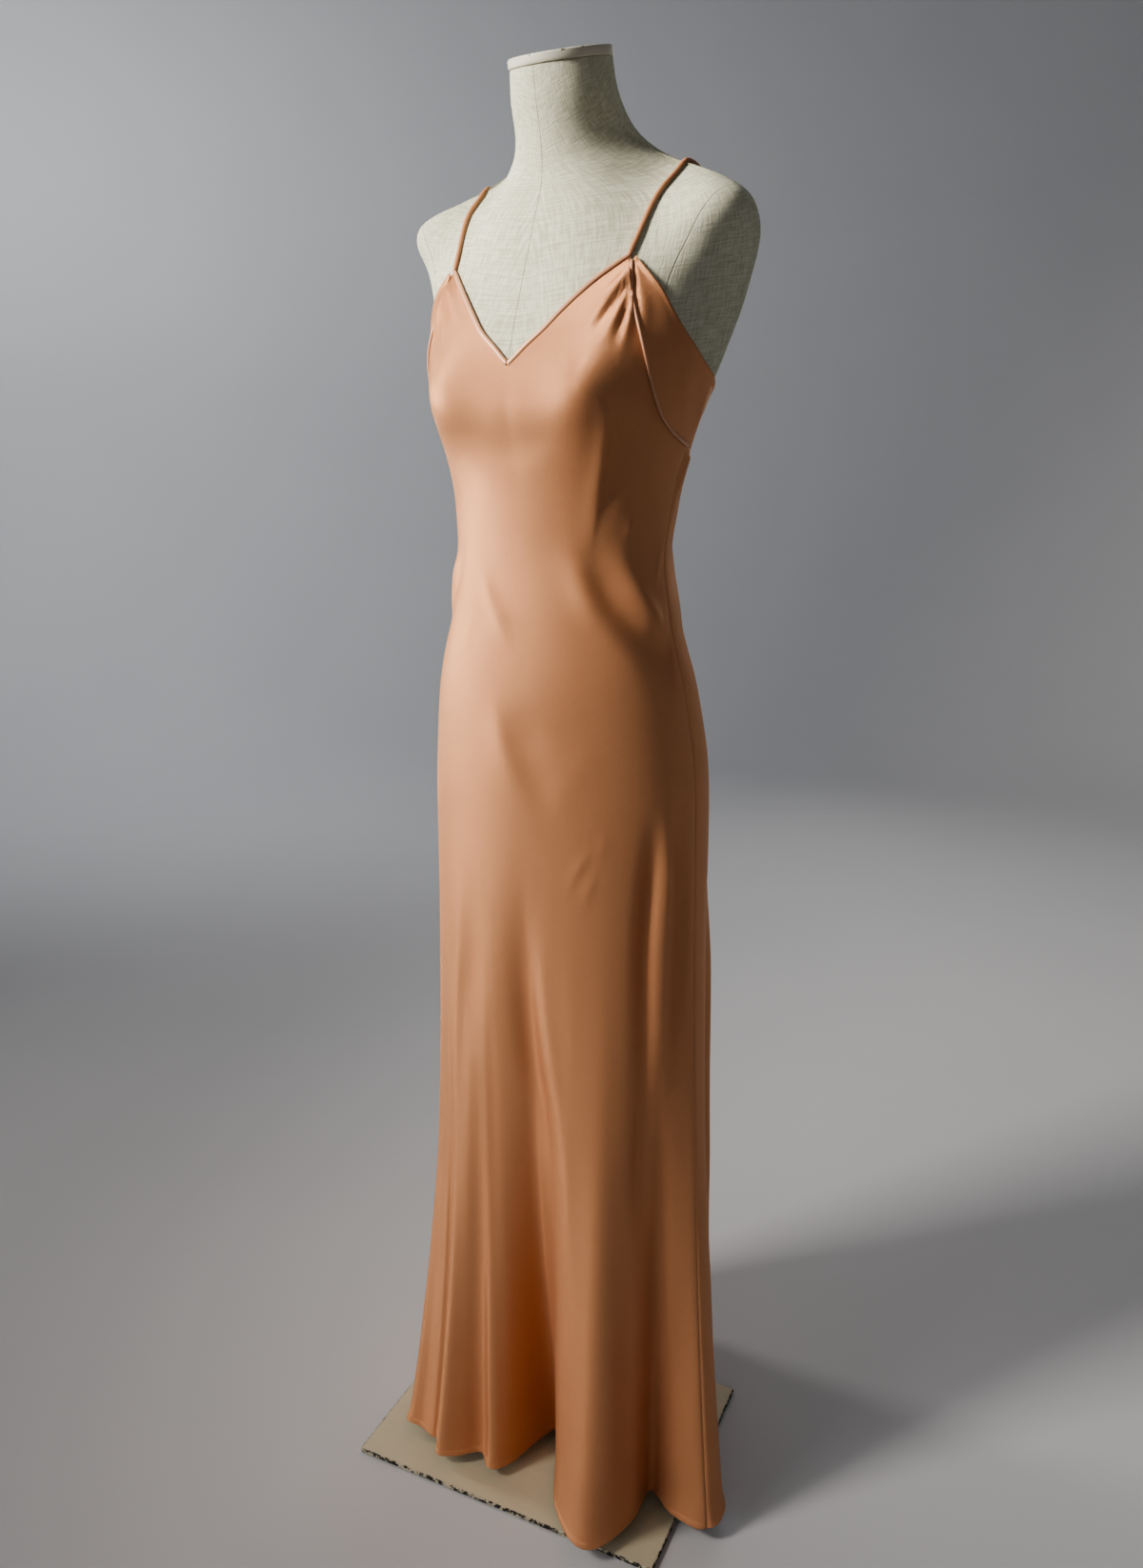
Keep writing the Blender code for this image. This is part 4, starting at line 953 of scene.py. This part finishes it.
# ---- Front and back panels ------------------------------------------------------------------------
PANEL_COLUMNS = 150
BODY_ROWS = 236
HEM_ROWS_TOP = 0.016      # above the hem, where the close rows begin
WAVES_ON_BODY = 0.00015   # height of the slow waves where the cloth lies on the form
WAVES_LOOSE = 0.0005      # and what is added where it hangs
LOOSE_DROP = 0.25         # over this far below the chest
HEM_LOBES = 38.0          # turn of the hem's slow lobes per metre
TROUGH_CORNER = 0.0006    # roundness of a trough's limited floor
HANGS_BELOW = 0.790       # from here down nothing limits a trough
HANGS_FADE = 0.030
CHEST_ABOVE = 1.190       # from here up the chest's own limit holds
CHEST_FADE = 0.020
FULL_TROUGH = 0.006       # depth at which a trough has all of its painted shade
MOST_PAINTED_FOLD_SHADE = 0.34        # and the most of that painted shade anywhere
HEM_ROWS = np.array([0.0110, 0.0085, 0.0070, HEM_DEPTH + 0.0006, HEM_DEPTH, HEM_DEPTH - 0.0005,
                     0.0040, 0.0028, 0.0016, 0.0007, 0.0])


def panel_top(panel, angle):
    """Upper edge of a panel: under the binding at the neck, against the piped seam elsewhere."""
    seam = edge_height(PIPED_SEAM, angle) - SEAM_GAP
    if panel == "back":
        return seam
    neck = edge_height(NECKLINE, angle) - NECK_DROP
    return np.where(np.abs(angle) < STRAP_ANGLE, np.minimum(neck, STRAP_HEIGHT - 0.0035), seam)


def panel_rows(top, top_rows):
    """Heights down each column, closer together at the hem."""
    upper = CHEST_ROW + (top - CHEST_ROW) * np.linspace(1.0, 0.0, top_rows, endpoint=False)[:, None]
    lower = np.linspace(CHEST_ROW, HEM_HEIGHT + HEM_ROWS_TOP, BODY_ROWS)[:, None] + 0.0 * top
    hem = (HEM_HEIGHT + HEM_ROWS)[:, None] + 0.0 * top
    return np.concatenate([upper, lower, hem])


def panel_surface(panel, across, height, phase):
    """Creased surface of a panel, with its cloth coordinates and the height of its creases."""
    flat = flat_across(panel, across, height)
    points = smooth_dress_point(panel, across, height)

    def surface(place, level):
        return smooth_dress_point(panel, place, level)

    normals = outward(surface, across, height, PANEL_STEP)
    crease = crease_height(panel, flat, height)
    waves = slow_waves(flat, height, phase)
    loose = ramp((CHEST_ROW - height) / LOOSE_DROP)
    curl = np.clip((HEM_CURL_TOP - height) / (HEM_CURL_TOP - HEM_HEIGHT), 0.0, 1.0) ** 2.2
    lobes = 0.55 + 0.45 * np.sin(HEM_LOBES * flat + phase)
    lift = crease + waves * (WAVES_ON_BODY + WAVES_LOOSE * loose) + HEM_CURL * curl * lobes
    on_body = ramp((height - HANGS_BELOW) / HANGS_FADE)
    on_chest = ramp((height - CHEST_ABOVE) / CHEST_FADE)
    lowest = -TROUGH_LIMIT * (1.0 - (1.0 - CHEST_TROUGH_SHARE) * on_chest)
    limited = lowest + soft_above(lift - lowest, TROUGH_CORNER)
    lift = lift + (limited - lift) * on_body
    ends = [flat_across(panel, np.full(height.shape, end), height) for end in (0.0, 1.0)]
    from_seam = np.minimum(flat - ends[0], ends[1] - flat)
    lift = lift * ramp(from_seam / SEAM_SPREAD)
    rolled = ramp((HEM_HEIGHT + HEM_DEPTH + 0.0008 - height) / 0.0016)
    lift = lift + (OUTER_FACE + HEM_ROLL_RISE * rolled) * ramp(from_seam / SEAM_DIP)
    return points + normals * lift[..., None], flat, crease


def fold_depth(points, height):
    """How far a place lies inside the outline of the skirt's folds, for the painted shade there."""
    sectors = 18
    turn = np.arctan2(points[:, 1], points[:, 0])
    out = np.hypot(points[:, 0], points[:, 1])
    sector = np.digitize(turn, np.linspace(-math.pi, math.pi, sectors + 1))
    result = np.zeros(len(points))
    for level in np.arange(0.0, 0.9, 0.05):
        rows = (height >= level) & (height < level + 0.05)
        if not rows.any():
            continue
        reach = np.zeros(sectors + 1)
        for number in np.unique(sector[rows]):
            reach[number - 1] = out[rows & (sector == number)].max()
        reach = np.maximum(reach, 0.9 * np.maximum(np.roll(reach, 1), np.roll(reach, -1)))
        result[rows] = np.clip((reach[sector[rows] - 1] - out[rows]) / 0.10 - 0.15, 0.0, 0.75)
    return result * np.clip((0.80 - height) / 0.4, 0.0, 1.0)


def hem_thickness(height):
    """Share of the rolled hem's thickness that the cloth has at a height."""
    rise = np.clip((HEM_HEIGHT + HEM_DEPTH - height) / 0.0006, 0.0, 1.0)
    from_core = (height - HEM_HEIGHT) / (0.5 * HEM_DEPTH) - 1.0
    roll = np.sqrt(np.clip(1.0 - from_core ** 2, 0.0, 1.0))
    return CLOTH / HEM_ROLL + (1.0 - CLOTH / HEM_ROLL) * rise * (0.45 + 0.55 * roll)


def make_panel(panel, top_rows, phase):
    """Front or back in one piece, from its upper edge to its rolled hem."""
    rows = top_rows + BODY_ROWS + len(HEM_ROWS) - 1
    places = np.linspace(0.0, 1.0, PANEL_COLUMNS + 1)
    heights = panel_rows(panel_top(panel, panel_angle(panel, places, SHOULDER_LEVEL)), top_rows)
    bm, u, v = flat_grid(PANEL_COLUMNS, rows)
    column = np.rint(u * PANEL_COLUMNS).astype(int)
    height = heights[np.rint((1.0 - v) * rows).astype(int), column]
    points, flat, crease = panel_surface(panel, places[column], height, phase)
    # painted shade: crease troughs and the hollows inside the skirt's folds take the satin's darker colour
    # through the kept "hollow" value
    trough = np.clip(-crease / FULL_TROUGH, 0.0, 1.0) * np.clip((1.0 - height) / 0.4, 0.0, 1.0)
    hollow = np.clip(0.30 * trough + MOST_PAINTED_FOLD_SHADE * fold_depth(points, height), 0.0, MOST_PAINTED_FOLD_SHADE)
    lay_grid(bm, points, np.column_stack([flat, height]), hollow=hollow)
    bmesh.ops.recalc_face_normals(bm, faces=bm.faces)
    piece = finish_object("satin_" + panel, bm, satin_look)
    thickness = piece.vertex_groups.new(name="thickness")
    share = np.round(hem_thickness(height), 3)
    for value in np.unique(share):
        thickness.add(np.nonzero(share == value)[0].tolist(), float(value), "REPLACE")
    shell = piece.modifiers.new("cloth", "SOLIDIFY")
    shell.thickness = HEM_ROLL
    shell.offset = -1.0
    shell.vertex_group = "thickness"
    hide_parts(panel)
    return piece


front = make_panel("front", 46, 0.4)
back = make_panel("back", 8, 2.3)


# ---- Side and back band ---------------------------------------------------------------------------
def worn_surface(ease):
    """The form's surface moved out by an ease, as a function of angle and height."""
    def surface(angle, height):
        return body_point(angle, height, ease)

    return surface


def make_band():
    """From one strap point down under the arm and round the back to the other, its top edge turned."""
    bm, u, v = flat_grid(BAND_COLUMNS, BAND_ROWS)
    angle = BAND_START + u * (360.0 - 2.0 * BAND_START)
    lower = edge_height(PIPED_SEAM, angle) + SEAM_GAP
    upper = edge_height(BAND_TOP, angle)
    height = lower + (upper - lower) * v
    surface = worn_surface(EASE)
    normals = outward(surface, angle, height, ANGLE_STEP)
    fold = np.minimum(angle, 360.0 - angle)
    inside = np.sin(math.pi * v)
    pull = 0.0016 * np.exp(-((fold - 44.0) / 5.0) ** 2) * inside ** 2
    pull += 0.0010 * np.exp(-((fold - 58.0) / 7.0) ** 2) * inside ** 2 * np.sin(6.0 * v + fold * 0.25)
    turned_edge = 0.0009 * np.exp(-((upper - height) / 0.0035) ** 4)
    slack = 0.0007 * np.sin(angle * 0.31 + 5.0 * v) * inside
    points = surface(angle, height) + normals * (OUTER_FACE + pull + turned_edge + slack)[:, None]
    cloth = np.column_stack([np.radians(angle) * BAND_ROUND, height])
    # an even 0.12 share of the satin's painted fold-shade colour, the same all over the band
    lay_grid(bm, points, cloth, hollow=np.full(len(u), 0.12))
    bmesh.ops.recalc_face_normals(bm, faces=bm.faces)
    piece = finish_object("satin_band", bm, band_look)
    shell = piece.modifiers.new("cloth", "SOLIDIFY")
    shell.thickness = CLOTH
    shell.offset = -1.0
    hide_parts("side_back_band")
    return piece


band = make_band()


# ---- Bindings, piping and straps ------------------------------------------------------------------
def edge_line(table, angles, side, out):
    """Points and normals along an edge of the dress on one side, moved out a little."""
    angles = angles * side
    heights = edge_height(table, angles)
    surface = worn_surface(EASE)
    normals = outward(surface, angles, heights, ANGLE_STEP)
    return surface(angles, heights) + normals * out, normals


def binding_shape(turn):
    """Folded strip: nearly rectangular, with a shallow groove where the stitching pulls it in."""
    return 1.0 + 0.10 * np.cos(2.0 * turn) ** 2 - 0.07 * np.exp(-((turn - 4.2) / 0.25) ** 2)


def rouleau_shape(turn):
    """Turned tube with its seam as a shallow groove."""
    return 1.0 - 0.10 * np.exp(-((turn - 3.6) / 0.30) ** 2)


def make_trim(name, bm, look, node):
    """One narrow piece in place of its solid."""
    piece = finish_object(name, bm, look)
    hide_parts(node)


def make_binding(name, side):
    """Bias strip folded over one side of the neckline, meeting the other at the V."""
    angles = np.linspace(0.0, STRAP_ANGLE - 0.4, 90)
    path, normals = edge_line(NECKLINE, angles, side, BINDING_LIFT)
    path[:, 2] += -0.0006 * np.exp(-(angles / 3.0) ** 2)
    path[0, 0] = side * MIDDLE_GAP
    taper = 1.0 - 0.35 * ramp((angles - (STRAP_ANGLE - BINDING_TAPER)) / BINDING_TAPER)
    half_wide, half_thick = 0.5 * BINDING_WIDTH * taper, 0.5 * BINDING_THICKNESS * taper
    bm = tube_mesh(path, normals, half_wide, half_thick, 16, binding_shape)
    for vertex in bm.verts:
        if vertex.co.x * side < MIDDLE_GAP:
            vertex.co.x = MIDDLE_GAP * side
    make_trim("neck_binding_strip_" + name, bm, trim_look_painted_highlight, "neck_binding_" + name)


def make_piping(name, side):
    """Fine cord in the seam between the front and the band."""
    angles = np.linspace(BAND_START - 0.6, UNDERARM_ANGLE - 0.8, 140)
    path, normals = edge_line(PIPED_SEAM, angles, side, OUTER_FACE + 0.35 * PIPING_RADIUS)
    bm = tube_mesh(path, normals, 1.1 * PIPING_RADIUS, PIPING_RADIUS, 12)
    make_trim("piped_seam_" + name, bm, trim_look_painted_highlight, "seam_piping_" + name)


def strap_line(name, side):
    """Over the shoulder on the form: up the front from the strap point, down the back to the band."""
    shoulder = STRAP_AT_SHOULDER[name]
    heights = np.linspace(BODY[6].height, BODY[2].height, 400)
    crossing = float(np.interp(-shoulder, -body_value("half_width", heights), heights))
    front_end = STRAP_HEIGHT - STRAP_FRONT_END
    back_end = edge_height(BAND_TOP, STRAP_BACK_ANGLE) - STRAP_BACK_END
    quarter = 0.5 * math.pi
    rise = np.sin(np.linspace(0.0, quarter, STRAP_ROWS))
    fall = 1.0 - np.cos(np.linspace(0.0, quarter, STRAP_ROWS * 3 // 2))[1:]
    heights = np.concatenate([front_end + (crossing - front_end) * rise,
                              crossing + (back_end - crossing) * fall])
    from_middle = np.concatenate([STRAP_AT_FRONT + (shoulder - STRAP_AT_FRONT) * rise,
                                  shoulder + (STRAP_AT_BACK - shoulder) * fall])
    ratio = np.clip(from_middle / body_value("half_width", heights), 0.0, 1.0)
    lean = np.degrees(np.arccos(ratio ** (0.5 * body_value("power", heights))))
    at_back = np.arange(len(heights)) >= STRAP_ROWS
    angles = side * np.where(at_back, 90.0 + lean, 90.0 - lean)
    surface = worn_surface(0.0)
    normals = outward(surface, angles, heights, ANGLE_STEP)
    path = surface(angles, heights) + normals * (STRAP_RADIUS + STRAP_CLEARANCE)
    for _ in range(6):
        path[1:-1] = 0.25 * path[:-2] + 0.5 * path[1:-1] + 0.25 * path[2:]
        normals[1:-1] = 0.25 * normals[:-2] + 0.5 * normals[1:-1] + 0.25 * normals[2:]
    normals /= np.linalg.norm(normals, axis=1, keepdims=True)
    return path, normals


def make_strap(name, side):
    """Turned satin tube over one shoulder."""
    path, normals = strap_line(name, side)
    bm = tube_mesh(path, normals, STRAP_RADIUS * 1.06, STRAP_RADIUS * 0.92, 14, rouleau_shape)
    make_trim("rouleau_strap_" + name, bm, strap_look, "strap_" + name)


for trim_side, trim_name in ((1, "left"), (-1, "right")):
    make_binding(trim_name, trim_side)
    make_piping(trim_name, trim_side)
    make_strap(trim_name, trim_side)


# ---- Dress form -----------------------------------------------------------------------------------
def make_form():
    """Neck, shoulders and body in one skin, closed flat under the skirt."""
    bm, u, v = flat_grid(FORM_COLUMNS, FORM_ROWS)
    height = FORM_BOTTOM + (NECK_TOP - FORM_BOTTOM) * v
    foot = FORM_FOOT * (1.0 - ramp((height - FORM_BOTTOM) / FORM_FOOT_HEIGHT)) ** 2
    under_dress = UNDER_DRESS * ramp((UNDER_DRESS_TOP - height) / 0.040)
    points = body_point(360.0 * u, height, -np.maximum(foot, under_dress))
    round_way = LINEN_ROUND * np.radians(180.0 - np.abs(360.0 * u - 180.0))
    lean = math.radians(LINEN_LEAN)
    warp = round_way * math.cos(lean) + height * math.sin(lean)
    weft = height * math.cos(lean) - round_way * math.sin(lean)
    lay_grid(bm, points, np.column_stack([warp, weft]))
    bmesh.ops.remove_doubles(bm, verts=bm.verts, dist=1e-6)
    bmesh.ops.holes_fill(bm, edges=bm.edges, sides=FORM_COLUMNS)
    bmesh.ops.recalc_face_normals(bm, faces=bm.faces)
    piece = finish_object("linen_form", bm, linen_look)
    piece.data.set_sharp_from_angle(angle=math.radians(60.0))
    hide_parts("form_body")


# Share of the rim's radius, height above the neck, and how worn the paint is there.
CAP_PROFILE = np.array((
    (0.000, 0.0, 0.0), (0.800, 0.0, 0.0), (0.975, 0.0, 0.3), (0.992, 0.0004, 0.5), (1.000, 0.0013, 0.6),
    (1.000, 0.0040, 0.45), (1.000, 0.0074, 0.9), (0.995, 0.0084, 1.0), (0.980, CAP_THICKNESS, 0.9),
    (0.930, CAP_THICKNESS, 0.30), (0.700, CAP_THICKNESS, 0.0), (0.400, CAP_THICKNESS, 0.0),
    (0.000, CAP_THICKNESS, 0.0)))


def make_cap():
    """Turned disc on the neck, tilted with it, its edges rounded and its paint chipped at the rim."""
    angles = np.arange(CAP_SIDES) * 360.0 / CAP_SIDES
    top = body_point(angles, np.full(CAP_SIDES, NECK_TOP), 0.0)
    centre = top.mean(axis=0)
    rim = centre + (top - centre) * (1.0 + CAP_OVERHANG)
    normal = np.cross(rim[CAP_SIDES // 4] - centre, rim[CAP_SIDES // 2] - centre)
    normal *= np.sign(normal[2]) / np.linalg.norm(normal)
    rings = len(CAP_PROFILE) - 1
    bm, u, v = flat_grid(CAP_SIDES, rings)
    share, lift, worn = CAP_PROFILE[np.rint(v * rings).astype(int)].T
    spoke = rim[np.rint(u * CAP_SIDES).astype(int) % CAP_SIDES] - centre
    points = centre + spoke * share[:, None] + normal * (GAP + lift)[:, None]
    lay_grid(bm, points, np.column_stack([u, v]), rim=worn)
    bmesh.ops.remove_doubles(bm, verts=bm.verts, dist=1e-6)
    bmesh.ops.recalc_face_normals(bm, faces=bm.faces)
    piece = finish_object("painted_neck_cap", bm, cap_look)
    piece.data.set_sharp_from_angle(angle=math.radians(50.0))
    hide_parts("neck_cap")


make_form()
make_cap()

for node, look in (("base_plate", plate_look), ("pole", steel_look), ("pole_flange", steel_look),
                   ("pole_collar", steel_look)):
    for material_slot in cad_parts[node].material_slots:
        material_slot.material = look


# ---- Floor and light ------------------------------------------------------------------------------
FLOOR_FLAT = 3.2
FLOOR_CURVE = 1.5
FLOOR_DROP = 0.0005
WALL_HEIGHT = 5.0


def make_floor():
    """Pale round floor that sweeps up into a low wall, far outside every camera."""
    bm = bmesh.new()
    bend = [(FLOOR_FLAT + FLOOR_CURVE * math.sin(t), FLOOR_CURVE * (1.0 - math.cos(t)))
            for t in np.linspace(0.0, 0.5 * math.pi, 13)]
    level = [(0.0, 0.0), (0.8, 0.0), (1.6, 0.0), (2.4, 0.0)]
    profile = level + bend + [(FLOOR_FLAT + FLOOR_CURVE, WALL_HEIGHT)]
    verts = [bm.verts.new((r, 0.0, z - FLOOR_DROP)) for r, z in profile]
    for low, high in zip(verts, verts[1:]):
        bm.edges.new((low, high))
    bmesh.ops.spin(bm, geom=list(bm.verts) + list(bm.edges), cent=(0.0, 0.0, 0.0),
                   axis=(0.0, 0.0, 1.0), angle=2.0 * math.pi, steps=96, use_merge=True)
    bmesh.ops.remove_doubles(bm, verts=bm.verts, dist=1e-5)
    mesh = bpy.data.meshes.new("floor")
    bm.to_mesh(mesh)
    bm.free()
    mesh.shade_smooth()
    finish = Finish("pale_floor", Specular_IOR_Level=0.2)
    place = finish.place()
    soft = finish.noise(place, 2.0, 4.0, 0.5)
    colour = finish.blend(soft, (0.56, 0.56, 0.575), (0.60, 0.60, 0.61))
    mesh.materials.append(finish.wear(Base_Color=colour, Roughness=0.6 + 0.1 * soft))
    floor = bpy.data.objects.new("floor", mesh)
    bpy.context.scene.collection.objects.link(floor)


Lamp = namedtuple("Lamp", "name place aim size power colour spread")
LAMPS = (
    Lamp("window", (-1.45, -1.80, 2.45), (0.0, 0.0, 1.57), (0.6, 0.9), 20.5, (1.0, 0.955, 0.89), 64.0),
    Lamp("side_window", (-2.60, -0.15, 1.20), (0.0, 0.0, 0.70), (0.35, 1.1), 5.5, (1.0, 0.965, 0.91), 80.0),
    Lamp("hem_fill", (-0.90, -2.40, 0.90), (0.0, 0.0, 0.12), (1.0, 0.6), 0.8, (1.0, 0.97, 0.95), 40.0),
    Lamp("front_fill", (1.30, -2.30, 1.60), (0.0, 0.0, 0.45), (1.6, 1.6), 1.3, (0.96, 0.98, 1.0), 100.0),
    Lamp("back_soft", (-0.60, 2.40, 1.90), (0.0, 0.0, 0.80), (1.6, 1.6), 10.0, (1.0, 0.97, 0.93), 180.0),
    Lamp("wall_wash", (-2.60, 0.90, 2.60), (-3.20, 3.40, 1.50), (1.4, 1.4), 42.0, (0.96, 0.98, 1.0), 180.0),
)


def hang(lamp):
    """Soft rectangular light, its spread narrowed where it is to fall off along the dress."""
    data = bpy.data.lights.new(lamp.name, "AREA")
    data.shape = "RECTANGLE"
    data.size, data.size_y = lamp.size
    data.energy = lamp.power
    data.color = lamp.colour
    data.spread = math.radians(lamp.spread)
    light = bpy.data.objects.new(lamp.name, data)
    light.location = lamp.place
    light.rotation_euler = (Vector(lamp.aim) - Vector(lamp.place)).to_track_quat("-Z", "Y").to_euler()
    bpy.context.scene.collection.objects.link(light)


make_floor()
world = bpy.data.worlds.new("studio")
world.use_nodes = True
world.node_tree.nodes["Background"].inputs["Color"].default_value = (0.93, 0.95, 1.0, 1.0)
world.node_tree.nodes["Background"].inputs["Strength"].default_value = 0.12
bpy.context.scene.world = world
bpy.context.scene.view_settings.look = "AgX - Medium High Contrast"
for studio_lamp in LAMPS:
    hang(studio_lamp)
